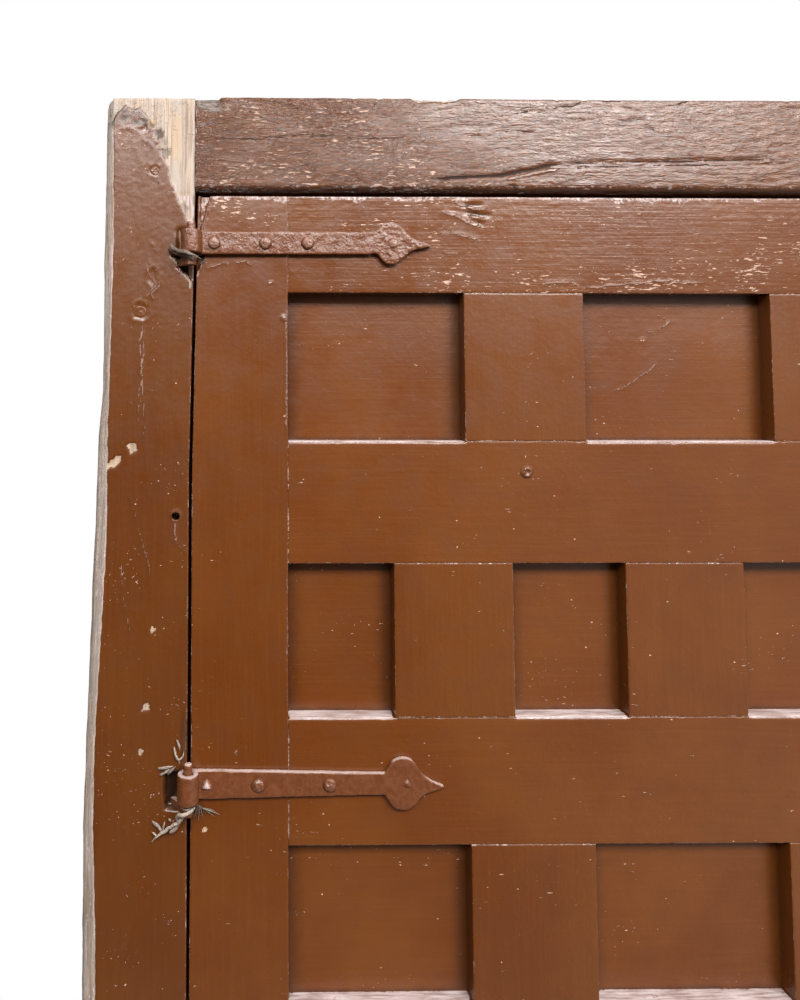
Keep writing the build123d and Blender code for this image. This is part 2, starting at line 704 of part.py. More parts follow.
def make_rail(index, bores):
    """Rail between the stiles, grooved, mortised and tenoned."""
    z0, z1 = RAILS[index]
    body = block(INNER_L, INNER_R, FRONT, FRONT + LEAF_T, z0, z1)
    body = body + rail_tenon(index, "hinge", 0) + rail_tenon(index, "lock", 0)
    tools = []
    if index > 0:
        tools += row_grooves(index - 1)
        tools += [ledge_bevel(x0, x1, z1) for x0, x1 in ROWS[index - 1][0]]
        tools += [muntin_tenon(x0, x1, index - 1, "bottom", JOINT_FIT) for x0, x1 in ROWS[index - 1][1]]
    if index < ROW_COUNT:
        tools += row_grooves(index)
        tools += [muntin_tenon(x0, x1, index, "top", JOINT_FIT) for x0, x1 in ROWS[index][1]]
    return cut(body, tools + touching(body, bores))


def make_muntin(row, x0, x1, bores):
    """Short muntin between two rails, grooved at its sides."""
    body = block(x0, x1, FRONT, FRONT + LEAF_T, RAILS[row + 1][1], RAILS[row][0])
    body = body + muntin_tenon(x0, x1, row, "top", 0) + muntin_tenon(x0, x1, row, "bottom", 0)
    return cut(body, touching(body, row_grooves(row) + bores))


def leaf_nodes():
    """Every timber piece of the leaf, by name."""
    bores = leaf_bores()
    nodes = {"hinge_stile": make_hinge_stile(bores), "lock_stile": make_lock_stile(bores)}
    for index in range(ROW_COUNT + 1):
        nodes[f"rail_{index + 1}"] = make_rail(index, bores)
    for row, (bays, muntins) in enumerate(ROWS):
        for place, (x0, x1) in enumerate(muntins):
            nodes[f"muntin_{row + 1}_{place + 1}"] = make_muntin(row, x0, x1, bores)
        grow = GROOVE_D - PANEL_PLAY
        nodes[f"panels_row_{row + 1}"] = Compound(children=[panel_box(x0, x1, row, grow, 0) for x0, x1 in bays])
    pegs = [rod(x, z, LEAF_PEG_R, FRONT + LEAF_T - LEAF_PEG_L, FRONT + LEAF_T) for x, z in peg_places()]
    nodes["leaf_pegs"] = Compound(children=pegs)
    x, z = tenon_nail_place()
    nodes["tenon_nail"] = make_nail(x, z, "small", FRONT)
    return nodes


def hinge_nodes():
    """Straps, nails, pintles and packing, by name."""
    nodes = {}
    for index in range(len(HINGE_RAILS)):
        nodes[f"strap_hinge_{index + 1}"] = make_strap(index)
        nails = [make_nail(x, z, kind, FRONT - STRAP_T) for x, z, kind in strap_nail_places(index)]
        nodes[f"strap_nails_{index + 1}"] = Compound(children=nails)
        nodes[f"pintle_{index + 1}"] = make_pintle(index)
    nodes["eye_packing"] = Compound(children=[make_packing(index) for index in range(len(HINGE_RAILS))])
    return nodes


def frame_nodes():
    """Posts, head, pegs and plug, by name."""
    pegs = [rod(x, z, HEAD_PEG_R, FRONT, BACK) for x, z in head_peg_places()]
    return {
        "jamb_left": make_left_jamb(),
        "jamb_right": make_right_jamb(),
        "head_beam": make_head(),
        "frame_pegs": Compound(children=pegs),
        "jamb_plug": rod(JAMB_L_FACE - PLUG_INSET, LEAF_TOP - PLUG_DROP, PLUG_R, FRONT, FRONT + PLUG_L),
    }


def bolt_nodes():
    """Bolt bar, its staples and the keeper, by name."""
    return {
        "bolt_bar": make_bolt(),
        "bolt_staples": Compound(children=[make_staple(x) for x in staple_places()]),
        "bolt_keeper": make_staple(keeper_x()),
    }


def main():
    """Build every piece and write one file for each."""
    os.makedirs("parts", exist_ok=True)
    nodes = {}
    for group in (frame_nodes, leaf_nodes, hinge_nodes, bolt_nodes):
        nodes.update(group())
    for name, shape in nodes.items():
        export_step(shape, f"parts/{name}.step")
        print(name, round(shape.volume))
    print("leaf", LEAF_W, LEAF_H, "frame", FRAME_W, FRAME_D, FRAME_H, "front", FRONT)
    print("axis", AXIS_X, AXIS_Y, "leaf left", LEAF_L, "leaf top", LEAF_TOP, "fixings", fixing_places())


main()
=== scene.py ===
import logging
import math
from dataclasses import dataclass, field
from enum import Enum
from typing import Callable, Dict, List, Optional, Sequence, Tuple, Union

import bmesh
import bpy
import numpy as np
from mathutils import Matrix, Vector


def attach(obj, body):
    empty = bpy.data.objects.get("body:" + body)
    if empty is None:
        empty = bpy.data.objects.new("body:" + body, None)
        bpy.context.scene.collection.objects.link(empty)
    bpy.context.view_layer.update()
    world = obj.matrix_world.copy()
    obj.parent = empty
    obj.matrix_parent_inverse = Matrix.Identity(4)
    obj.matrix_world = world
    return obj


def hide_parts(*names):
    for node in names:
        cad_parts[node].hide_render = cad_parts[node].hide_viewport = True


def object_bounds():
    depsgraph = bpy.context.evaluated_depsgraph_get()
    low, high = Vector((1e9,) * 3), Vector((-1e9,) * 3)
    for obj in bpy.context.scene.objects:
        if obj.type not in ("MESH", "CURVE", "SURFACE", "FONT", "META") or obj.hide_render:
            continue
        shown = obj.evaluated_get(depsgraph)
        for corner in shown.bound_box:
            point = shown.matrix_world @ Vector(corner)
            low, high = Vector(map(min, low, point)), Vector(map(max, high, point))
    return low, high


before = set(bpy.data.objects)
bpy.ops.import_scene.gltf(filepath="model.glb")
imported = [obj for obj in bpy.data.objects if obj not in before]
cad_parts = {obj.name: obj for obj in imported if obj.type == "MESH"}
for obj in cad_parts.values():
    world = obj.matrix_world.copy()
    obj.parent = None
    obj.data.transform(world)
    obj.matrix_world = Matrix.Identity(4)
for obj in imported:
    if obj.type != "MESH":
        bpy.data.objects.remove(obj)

LOG = logging.getLogger("door")
MM = 0.001
Array = np.ndarray
Point = Tuple[float, float]
Place = Tuple[float, float, float]
Size = Union[float, Sequence[float]]
Faces = List[Tuple[int, ...]]
Socket = bpy.types.NodeSocket
CAD_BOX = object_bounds()
INSET = 0.02


class Along(Enum):
    """Which way a timber's grain runs."""

    LEVEL = "x"
    UPRIGHT = "z"


class Slot(Enum):
    """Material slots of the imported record."""

    TIMBER = "painted_wood"
    PANEL = "panel_wood"
    IRON = "painted_iron"
    PACKING = "packing"


@dataclass(frozen=True)
class Eye:
    """The rolled eye of one strap hinge.

    Args:
        z: height of its middle, in millimetres.
        high: its height.
        spade: whether its strap ends in a spade and not in a disc.
    """

    z: float
    high: float
    spade: bool

    @property
    def top(self) -> float:
        """Height of its upper end."""
        return self.z + self.high / 2

    @property
    def foot(self) -> float:
        """Height of its lower end."""
        return self.z - self.high / 2


@dataclass(frozen=True)
class DoorSizes:
    """Places of the door and its frame in millimetres, as the solids have them."""

    front: float = -30.35
    back: float = 64.65
    left: float = -598.5
    right: float = 598.5
    top: float = 2101.0
    jamb_left_face: float = -492.5
    jamb_right_face: float = 492.5
    leaf_left: float = -489.5
    leaf_right: float = 488.5
    inner_left: float = -394.5
    inner_right: float = 393.5
    leaf_bottom: float = 8.0
    leaf_top: float = 1999.0
    head_bottom: float = 2004.0
    leaf_depth: float = 44.0
    stop_face: float = 14.15
    stop_width: float = 15.0
    stop_tuck: float = 3.0
    lean: float = 4.5
    lean_length: float = 280.0
    panel_recess: float = 18.0
    panel_depth: float = 12.0
    axis_x: float = -491.0
    axis_y: float = -40.85
    rails: Tuple[Point, ...] = ((1901.0, 1999.0), (1632.0, 1752.0), (1363.0, 1483.0), (1094.0, 1214.0),
                                (825.0, 945.0), (556.0, 676.0), (287.0, 407.0), (8.0, 138.0))
    wide_bays: Tuple[Point, ...] = ((-394.5, -216.5), (-95.5, 94.5), (215.5, 393.5))
    narrow_bays: Tuple[Point, ...] = ((-394.5, -289.5), (-171.5, -59.5), (58.5, 170.5), (288.5, 393.5))
    window_right: float = 150.0
    window_foot: float = 1130.0
    window_top: float = 2200.0
    hollow: float = 1464.0
    pit: float = 26.0
    eyes: Tuple[Eye, ...] = (Eye(1950.0, 23.5, True), Eye(1423.0, 27.5, False), Eye(885.0, 23.5, True),
                             Eye(347.0, 27.5, False))

    @property
    def leaf_back(self) -> float:
        """Depth of the leaf's back."""
        return self.front + self.leaf_depth

    def lean_at(self, z: Array) -> Array:
        """How far the hinge side leans to the right at a height."""
        return self.lean * np.clip((z - self.leaf_top + self.lean_length) / self.lean_length, 0.0, 1.0)

    def bays(self, row: int) -> Tuple[Point, ...]:
        """Left and right ends of the panels' openings in a row, counted from 0 at the top."""
        return self.wide_bays if row % 2 == 0 else self.narrow_bays

    def muntins(self, row: int) -> List[Point]:
        """Left and right sides of the muntins in a row."""
        bays = self.bays(row)
        return [(bays[i][1], bays[i + 1][0]) for i in range(len(bays) - 1)]


SIZES = DoorSizes()


class Noise:
    """Repeatable gradient noise for points in millimetres."""

    WAYS = np.array([(1, 1, 0), (-1, 1, 0), (1, -1, 0), (-1, -1, 0), (1, 0, 1), (-1, 0, 1), (1, 0, -1), (-1, 0, -1),
                     (0, 1, 1), (0, -1, 1), (0, 1, -1), (0, -1, -1)], float)

    @staticmethod
    def lattice(i: Array, j: Array, k: Array, seed: int) -> Array:
        """Whole number for each cell corner."""
        mask = np.int64(0xFFFFFFFF)
        h = ((i * 374761393) ^ (j * 668265263) ^ (k * 1274126177) ^ (seed * 97531)) & mask
        h = ((h ^ (h >> 15)) * 73244475) & mask
        h = ((h ^ (h >> 13)) * 19990303) & mask
        return h ^ (h >> 16)

    @classmethod
    def plain(cls, points: Array, size: Size, seed: int) -> Array:
        """One layer of noise.

        Args:
            points: places, with x, y and z in the last axis.
            size: cell size, as one number or along x, y and z.
            seed: picks the pattern.

        Returns:
            Values between about -1 and 1.
        """
        p = points / np.asarray(size, float)
        base = np.floor(p)
        f = p - base
        cell = base.astype(np.int64)
        w = f * f * f * (f * (f * 6 - 15) + 10)
        total = np.zeros(points.shape[:-1])
        for dx in (0, 1):
            for dy in (0, 1):
                for dz in (0, 1):
                    h = cls.lattice(cell[..., 0] + dx, cell[..., 1] + dy, cell[..., 2] + dz, seed) % 12
                    g = cls.WAYS[h]
                    dot = g[..., 0] * (f[..., 0] - dx) + g[..., 1] * (f[..., 1] - dy) + g[..., 2] * (f[..., 2] - dz)
                    wx = w[..., 0] if dx else 1 - w[..., 0]
                    wy = w[..., 1] if dy else 1 - w[..., 1]
                    wz = w[..., 2] if dz else 1 - w[..., 2]
                    total += dot * wx * wy * wz
        return total * 1.3

    @classmethod
    def layered(cls, points: Array, size: Size, seed: int, layers: int = 3, fade: float = 0.5) -> Array:
        """Sum of ever finer noise.

        Args:
            points: places, with x, y and z in the last axis.
            size: cell size of the coarsest layer.
            seed: picks the pattern.
            layers: how many layers.
            fade: strength of each layer over the one before.

        Returns:
            Values between about -1 and 1.
        """
        total = np.zeros(points.shape[:-1])
        strength, reach = 1.0, 0.0
        step = np.asarray(size, float)
        for layer in range(layers):
            total += strength * cls.plain(points, step, seed + 101 * layer)
            reach += strength
            strength *= fade
            step = step / 2
        return total / reach


def place_in_scene(name: str, data: object) -> bpy.types.Object:
    """A new object in the scene, with its mesh, light or camera."""
    obj = bpy.data.objects.new(name, data)
    bpy.context.scene.collection.objects.link(obj)
    return obj


def mesh_from(work: bmesh.types.BMesh, name: str) -> bpy.types.Mesh:
    """A mesh made from a bmesh, which is freed."""
    mesh = bpy.data.meshes.new(name)
    work.to_mesh(mesh)
    work.free()
    return mesh


def settle(obj: bpy.types.Object) -> bpy.types.Mesh:
    """Turn an object's modifiers into its mesh."""
    ready = bpy.data.meshes.new_from_object(obj.evaluated_get(bpy.context.evaluated_depsgraph_get()))
    obj.modifiers.clear()
    old, obj.data = obj.data, ready
    bpy.data.meshes.remove(old)
    return ready


def inside_box(points: Array) -> Array:
    """Points in millimetres, kept just inside the solids' box."""
    low, high = np.array(CAD_BOX[0]) / MM, np.array(CAD_BOX[1]) / MM
    return np.clip(points, low + INSET, high - INSET)


def smooth(low: float, high: float, value: Array) -> Array:
    """Soft step from 0 at low to 1 at high; low may be above high."""
    t = np.clip((value - low) / (high - low), 0.0, 1.0)
    return t * t * (3 - 2 * t)


def plane_distance(x: Array, z: Array, path: Sequence[Point]) -> Tuple[Array, Array]:
    """Distance of points in the front view from a path.

    Args:
        x: across, in millimetres.
        z: height, in millimetres.
        path: the path's points.

    Returns:
        The distance, and how far along the path the nearest point is, from 0 to 1.
    """
    best = np.full(x.shape, 1e9)
    place = np.zeros(x.shape)
    spans = len(path) - 1
    for i in range(spans):
        ax, az = path[i]
        bx, bz = path[i + 1]
        dx, dz = bx - ax, bz - az
        t = np.clip(((x - ax) * dx + (z - az) * dz) / (dx * dx + dz * dz), 0.0, 1.0)
        d = np.hypot(x - ax - t * dx, z - az - t * dz)
        nearer = d < best
        best = np.where(nearer, d, best)
        place = np.where(nearer, (i + t) / spans, place)
    return best, place


@dataclass
class Surface:
    """What the marks on a surface add up to: its height, its lines, and how bare, pale, dark, warm, edge-worn and
    crazed it is at each point. The pale layer also holds painted highlights, and the dark layer painted shade."""

    points: Array
    height: Array
    bare: Array
    pale: Array
    dark: Array
    warm: Array
    edge: Array
    crack: Array
    scar: Array
    craze: Array

    @classmethod
    def over(cls, points: Array) -> "Surface":
        """An unmarked surface over the given points."""
        return cls(points, *[np.zeros(points.shape[:-1]) for _ in range(9)])

    def show(self, **layers: Array) -> None:
        """Raise layers, given by name, to at least some values."""
        for name, values in layers.items():
            setattr(self, name, np.maximum(getattr(self, name), values))


@dataclass(frozen=True)
class Mark:
    """A dent, chip, plug or stain with a roughly oval outline.

    Args:
        x, z: its middle on the face, in millimetres.
        wide, high: its half sizes.
        turn: degrees by which it is turned.
        depth: how deep it goes.
        rim: height of its raised rim.
        bare, pale, dark, warm: how much of each it shows.
        ragged: how uneven its outline is, from 0 to 1.
        ring: how pale its rim is, a painted highlight broken by noise.
    """

    x: float
    z: float
    wide: float
    high: float
    turn: float = 0.0
    depth: float = 0.0
    rim: float = 0.0
    bare: float = 0.0
    pale: float = 0.0
    dark: float = 0.0
    warm: float = 0.0
    ragged: float = 0.35
    ring: float = 0.0

    def press(self, surface: Surface) -> None:
        """Add the mark to a surface."""
        p = surface.points
        near = np.hypot(p[..., 0] - self.x, p[..., 2] - self.z) < 2.2 * max(self.wide, self.high) + 3
        if not near.any():
            return
        q = p[near]
        a = math.radians(self.turn)
        u = (q[:, 0] - self.x) * math.cos(a) + (q[:, 2] - self.z) * math.sin(a)
        v = -(q[:, 0] - self.x) * math.sin(a) + (q[:, 2] - self.z) * math.cos(a)
        d = np.hypot(u / self.wide, v / self.high)
        size = max(2.0, 0.5 * min(self.wide, self.high))
        d = d + self.ragged * Noise.layered(q, size * 2, 11, 2)
        inside = smooth(1.15, 0.8, d)
        edge = np.exp(-(((d - 1.15) / 0.22) ** 2))
        surface.height[near] += -self.depth * inside + self.rim * edge
        # Painted highlight on the rim, broken up by noise.
        if self.ring:
            broken = 0.55 + 0.9 * Noise.layered(q, 5.0, 13, 2)
            surface.pale[near] = np.maximum(surface.pale[near], self.ring * edge * broken)
        for name in ("bare", "pale", "dark", "warm"):
            amount = getattr(self, name)
            if amount:
                held = getattr(surface, name)
                held[near] = np.maximum(held[near], amount * inside)


@dataclass(frozen=True)
class Crack:
    """A crack, or a raised scar of thick paint, that follows a path on a face.

    Args:
        path: its points on the face, in millimetres.
        width: its half width.
        depth: how deep it goes; below 0 it stands proud, as a scar.
        wander: how far it strays from the path.
        pale: how pale it is.
    """

    path: Tuple[Point, ...]
    width: float = 0.8
    depth: float = 1.0
    wander: float = 1.5
    pale: float = 0.0

    REACH = 6.0

    def press(self, surface: Surface) -> None:
        """Add the crack to a surface."""
        p = surface.points
        reach = self.REACH * self.width + self.wander
        xs, zs = [a for a, _ in self.path], [b for _, b in self.path]
        near = ((p[..., 0] > min(xs) - reach) & (p[..., 0] < max(xs) + reach)
                & (p[..., 2] > min(zs) - reach) & (p[..., 2] < max(zs) + reach))
        if not near.any():
            return
        q = p[near]
        x = q[:, 0] + self.wander * Noise.layered(q, 13, 23, 3)
        z = q[:, 2] + self.wander * Noise.layered(q, 13, 29, 3)
        d, place = plane_distance(x, z, self.path)
        ends = np.clip(np.minimum(place, 1 - place) * 9, 0.0, 1.0)
        line = np.clip(1 - d / (self.REACH * self.width) - 0.16 * (1 - ends), 0, 1)
        layer = surface.scar if self.depth < 0 else surface.crack
        layer[near] = np.maximum(layer[near], line)
        broad = np.exp(-((d / max(1.6, 1.3 * self.width)) ** 2)) * ends
        surface.height[near] -= 0.4 * self.depth * broad
        if self.pale:
            broken = 0.6 + 0.8 * Noise.layered(q, 7.0, 31, 2)
            surface.pale[near] = np.maximum(surface.pale[near], self.pale * broad * broken)


@dataclass(frozen=True)
class Relief:
    """How uneven a painted timber's faces are, in millimetres.

    Args:
        wave: slow unevenness.
        grain: raised grain.
        pitch: spacing of the grain across it.
        run: length of the grain's ridges.
        lump: small lumps in the paint.
    """

    wave: float = 0.45
    grain: float = 0.12
    pitch: float = 5.0
    run: float = 70.0
    lump: float = 0.07

    def heights(self, points: Array, along: Along, seed: int) -> Array:
        """Height of the surface at each point.

        Args:
            points: places in millimetres.
            along: the grain's way.
            seed: picks the pattern.

        Returns:
            Heights in millimetres, outwards positive.
        """
        level = along is Along.LEVEL
        far = (260.0, 90.0, 90.0) if level else (90.0, 90.0, 260.0)
        wave = Noise.layered(points, far, seed, 2)
        drift = Noise.plain(points, 70.0, seed + 7) * self.pitch * 1.6
        bent = points.copy()
        bent[..., 2 if level else 0] += drift
        fine = (self.run, self.pitch, self.pitch) if level else (self.pitch, self.pitch, self.run)
        ridge = 1 - 2 * np.abs(Noise.layered(bent, fine, seed + 13, 2, 0.6))
        lump = Noise.layered(points, 6.0, seed + 31, 2)
        return self.wave * wave + self.grain * ridge + self.lump * lump


class Graph:
    """Short way to write a material's nodes."""

    def __init__(self, name: str) -> None:
        """Start an empty material.

        Args:
            name: the material's name.
        """
        self.material = bpy.data.materials.new(name)
        self.material.use_nodes = True
        self.tree = self.material.node_tree
        self.tree.nodes.clear()
        self.out = self.tree.nodes.new("ShaderNodeOutputMaterial")
        self.coords = self.tree.nodes.new("ShaderNodeTexCoord").outputs["Object"]

    def put(self, socket: bpy.types.NodeSocket, value: object) -> None:
        """Set a socket to a value, or link a node's output to it."""
        if isinstance(value, Socket):
            self.tree.links.new(value, socket)
        elif socket.type == "RGBA" and len(value) == 3:
            socket.default_value = (*value, 1.0)
        else:
            socket.default_value = value

    def attribute(self, name: str) -> Socket:
        """A number kept at each of the mesh's points."""
        node = self.tree.nodes.new("ShaderNodeAttribute")
        node.attribute_name = name
        return node.outputs["Fac"]

    def stretched(self, size: Size) -> Socket:
        """The piece's own coordinates, divided by a size in millimetres, as one number or along each axis."""
        node = self.tree.nodes.new("ShaderNodeMapping")
        node.inputs["Scale"].default_value = [1.0 / (float(s) * MM) for s in np.broadcast_to(size, 3)]
        self.put(node.inputs["Vector"], self.coords)
        return node.outputs["Vector"]

    def noise(self, size: Size, detail: float = 2.0, rough: float = 0.5, twist: float = 0.0,
              w: float = 0.0) -> Socket:
        """Noise with a given cell size in millimetres, from about 0 to 1."""
        node = self.tree.nodes.new("ShaderNodeTexNoise")
        node.noise_dimensions = "4D"
        self.put(node.inputs["Vector"], self.stretched(size))
        node.inputs["W"].default_value = w
        node.inputs["Scale"].default_value = 1.0
        node.inputs["Detail"].default_value = detail
        node.inputs["Roughness"].default_value = rough
        node.inputs["Distortion"].default_value = twist
        return node.outputs["Fac"]

    def scatter(self, size: Size, radius: float, share: object) -> Socket:
        """Small spots scattered at random.

        Args:
            size: cell size in millimetres.
            radius: a spot's radius as a share of its cell.
            share: share of the cells that may hold one.

        Returns:
            1 in a spot and 0 elsewhere.
        """
        node = self.tree.nodes.new("ShaderNodeTexVoronoi")
        self.put(node.inputs["Vector"], self.stretched(size))
        node.inputs["Scale"].default_value = 1.0
        split = self.tree.nodes.new("ShaderNodeSeparateColor")
        self.put(split.inputs[0], node.outputs["Color"])
        held = self.math("LESS_THAN", split.outputs[0], share)
        return self.math("MULTIPLY", self.step(node.outputs["Distance"], radius, radius * 0.45), held)

    def math(self, kind: str, a: object, b: object = 0.0, clamp: bool = False) -> Socket:
        """Arithmetic on two numbers."""
        node = self.tree.nodes.new("ShaderNodeMath")
        node.operation = kind
        node.use_clamp = clamp
        self.put(node.inputs[0], a)
        self.put(node.inputs[1], b)
        return node.outputs[0]

    def plus(self, a: object, b: object, clamp: bool = False) -> Socket:
        """Sum of two numbers."""
        return self.math("ADD", a, b, clamp)

    def less(self, a: object, b: object) -> Socket:
        """One number less another."""
        return self.math("SUBTRACT", a, b)

    def times(self, a: object, b: object) -> Socket:
        """Product of two numbers."""
        return self.math("MULTIPLY", a, b)

    def most(self, a: object, b: object) -> Socket:
        """The larger of two numbers."""
        return self.math("MAXIMUM", a, b)

    def around(self, value: object, amount: float) -> Socket:
        """How far a noise is above or below its middle, times an amount."""
        return self.times(self.less(value, 0.5), amount)

    def fold(self, value: object) -> Socket:
        """How far a noise is from its middle on either side."""
        return self.math("ABSOLUTE", self.less(value, 0.5))

    def step(self, value: object, low: float, high: float, to: Point = (0.0, 1.0)) -> Socket:
        """Soft step of a value between two limits."""
        node = self.tree.nodes.new("ShaderNodeMapRange")
        node.interpolation_type = "SMOOTHSTEP"
        for key, number in zip(("Value", "From Min", "From Max", "To Min", "To Max"), (value, low, high, *to)):
            self.put(node.inputs[key], number)
        return node.outputs["Result"]

    def mix(self, amount: object, a: object, b: object) -> Socket:
        """Mix of two colours."""
        node = self.tree.nodes.new("ShaderNodeMix")
        node.data_type = "RGBA"
        self.put(node.inputs[0], amount)
        self.put(node.inputs[6], a)
        self.put(node.inputs[7], b)
        return node.outputs[2]

    def bump(self, height: object, distance: float, normal: Optional[Socket] = None) -> Socket:
        """Normal tilted by a height, with the distance in millimetres."""
        node = self.tree.nodes.new("ShaderNodeBump")
        node.inputs["Strength"].default_value = 1.0
        node.inputs["Distance"].default_value = distance * MM
        self.put(node.inputs["Height"], height)
        if normal is not None:
            self.put(node.inputs["Normal"], normal)
        return node.outputs["Normal"]

    def surface(self, **values: object) -> bpy.types.Material:
        """Finish the material as one surface.

        Args:
            **values: sockets of the surface shader, by name with _ for a space.

        Returns:
            The finished material.
        """
        node = self.tree.nodes.new("ShaderNodeBsdfPrincipled")
        for key, value in values.items():
            self.put(node.inputs[key.replace("_", " ")], value)
        self.tree.links.new(node.outputs[0], self.out.inputs["Surface"])
        return self.material


@dataclass(frozen=True)
class OldPaint:
    """Old glossy red-brown paint on timber, flaked to bare wood in places, with painted glints on its lumps.

    Args:
        name: the material's name.
        along: the way the timber's grain runs.
        brush: height of its brush marks, in millimetres.
        wrinkle: height of weathered wrinkles in it, in millimetres.
        glint_flecks: how many small bright spots it has, painted glints of light, from 0 to 1.
        tick: length of a fleck over its height.
        cell: spacing of the glints, in millimetres.
        gloss: the paint's lowest roughness.
        tint: brightness of the paint.
        crazing: how many more painted glints it has where it is crazed.
        flaked: whether bare wood shows anywhere.
    """

    name: str
    along: Along
    brush: float = 0.12
    wrinkle: float = 0.0
    glint_flecks: float = 0.4
    tick: float = 1.4
    cell: float = 4.5
    gloss: float = 0.24
    tint: float = 1.0
    crazing: float = 0.1
    flaked: bool = True

    def size(self, across: float, run: float) -> Place:
        """Cell size with its long way along the grain."""
        return (run, across, across) if self.along is Along.LEVEL else (across, across, run)

    def colour(self, red: float, green: float, blue: float) -> Place:
        """A paint colour at this finish's brightness."""
        return red * self.tint, green * self.tint, blue * self.tint

    def bare_wood(self, g: Graph) -> Tuple[Socket, Socket]:
        """Grey weathered wood, tanned where the warm layer says so.

        Args:
            g: the material's graph.

        Returns:
            The height of its fibres, and its colour.
        """
        fibre = g.noise(self.size(1.6, 60.0), 5.0, 0.7, 0.3, w=11.0)
        board = g.noise(self.size(9.0, 130.0), 3.0, 0.6, 0.5, w=12.0)
        wood = g.mix(g.step(fibre, 0.36, 0.66), (0.19, 0.14, 0.105), (0.43, 0.345, 0.27))
        wood = g.mix(g.step(board, 0.40, 0.66, (0.0, 0.75)), wood, (0.36, 0.32, 0.29))
        wood = g.mix(g.times(g.attribute("warm"), g.step(board, 0.35, 0.7)), wood, (0.43, 0.27, 0.10))
        splits = g.step(g.noise(self.size(0.9, 38.0), 2.0, 0.5, w=14.0), 0.34, 0.27)
        return fibre, g.mix(g.times(splits, 0.6), wood, (0.10, 0.07, 0.05))

    def wrinkles(self, g: Graph, normal: Socket, face: Socket) -> Tuple[Socket, Socket]:
        """Weathered folds where the paint is crazed, and bark-like grain elsewhere.

        Args:
            g: the material's graph.
            normal: the normal so far.
            face: the colour so far.

        Returns:
            The new normal and colour.
        """
        craze = g.attribute("craze")
        fold = g.fold(g.noise(self.size(4.2, 26.0), 4.0, 0.62, 1.2, w=20.0))
        fine = g.fold(g.noise(self.size(2.2, 8.0), 3.0, 0.6, 1.6, w=21.0))
        area = g.times(craze, g.step(g.noise((60.0, 60.0, 30.0), 2.0, 0.5, w=22.0), 0.3, 0.6, (0.55, 1.0)))
        high = g.plus(g.times(fold, 3.0), g.times(fine, 2.6))
        normal = g.bump(g.times(high, area), self.wrinkle, normal=normal)
        bark = g.noise(self.size(3.2, 13.0), 3.0, 0.6, 1.2, w=23.0)
        normal = g.bump(g.times(bark, g.less(1.1, craze)), 0.9 * self.wrinkle, normal=normal)
        # Creases are painted dark: painted shade in the folds.
        crease_shade = g.most(g.step(fold, 0.042, 0.012), g.times(g.step(fine, 0.03, 0.0), 0.5))
        return normal, g.mix(g.times(crease_shade, 0.72), face, (0.024, 0.008, 0.003))

    def material(self) -> bpy.types.Material:
        """Build the material."""
        g = Graph(self.name)
        patch = g.noise((120.0, 120.0, 160.0), 3.0, 0.55, w=1.0)
        brush = g.noise(self.size(3.0, 90.0), 3.0, 0.55, 0.6, w=2.0)
        mottle = g.noise(26.0, 2.0, 0.5, 0.5, w=3.0)
        paint = g.mix(g.step(patch, 0.35, 0.65), self.colour(0.090, 0.0235, 0.0028),
                      self.colour(0.106, 0.0315, 0.0048))
        paint = g.mix(g.step(brush, 0.4, 0.8, (0.0, 0.3)), paint, self.colour(0.128, 0.041, 0.0085))
        paint = g.mix(g.step(mottle, 0.4, 0.8, (0.0, 0.3)), paint, self.colour(0.070, 0.0185, 0.0025))
        where = g.noise((55.0, 55.0, 40.0), 2.0, 0.5, w=6.0)
        # Glint ticks and scattered chips are small pale strokes and spots: painted highlights where light would catch
        # the paint's lumps.
        run = self.cell * self.tick
        speck = g.noise((run, run, self.cell), 2.0, 0.6, 0.6, w=5.0)
        craze = g.attribute("craze")
        speck = g.plus(speck, g.step(where, 0.35, 0.65, (-0.09, 0.03)))
        speck = g.plus(speck, g.times(craze, self.crazing))
        height = 0.735 - 0.115 * self.glint_flecks
        glint_ticks = g.step(speck, height, height + 0.035)
        chips = g.scatter((19.0, 17.0, 14.0), 0.07, g.step(where, 0.4, 0.6, (0.0, 0.5)))
        glint_flecks = g.most(glint_ticks, chips)
        paint = g.mix(g.times(glint_flecks, 0.8), paint, (0.52, 0.35, 0.27))

        ragged = g.noise(3.2, 4.0, 0.65, w=8.0)
        streak = g.noise(self.size(2.6, 30.0), 4.0, 0.62, w=9.0)
        torn = g.plus(g.times(ragged, 0.55), g.times(streak, 0.45))
        edge = g.times(g.attribute("edge"), 0.85)
        worn = g.step(g.plus(edge, g.around(torn, 2.0)), 0.58, 0.72)
        paint = g.mix(g.times(worn, 0.85), paint, (0.36, 0.265, 0.225))
        face, bare, fibre = paint, 0.0, 0.0
        if self.flaked:
            spread = g.plus(g.attribute("bare"), g.around(torn, 1.1))
            bare = g.step(spread, 0.46, 0.54)
            rim = g.less(g.step(spread, 0.34, 0.42), bare)
            fibre, wood = self.bare_wood(g)
            torn_edge = g.mix(g.step(streak, 0.46, 0.54), (0.02, 0.009, 0.006), (0.42, 0.30, 0.22))
            paint = g.mix(g.times(rim, 0.8), paint, torn_edge)
            face = g.mix(bare, paint, wood)
        # The pale layer is partly dusty, worn paint and partly painted highlights and reflections.
        dust_and_highlights = g.plus(g.attribute("pale"), g.around(ragged, 1.3))
        pale = g.step(dust_and_highlights, 0.42, 0.62)
        face = g.mix(pale, face, g.mix(g.step(streak, 0.35, 0.65), (0.24, 0.17, 0.155), (0.50, 0.435, 0.43)))
        wobble = g.around(ragged, 0.3)
        scar = g.step(g.plus(g.attribute("scar"), wobble), 0.76, 0.9)
        crack = g.step(g.plus(g.attribute("crack"), wobble), 0.78, 0.86)
        # Raised scars are painted a pale pink: a painted highlight along their ridges.
        face = g.mix(g.times(scar, 0.5), face, (0.30, 0.205, 0.17))
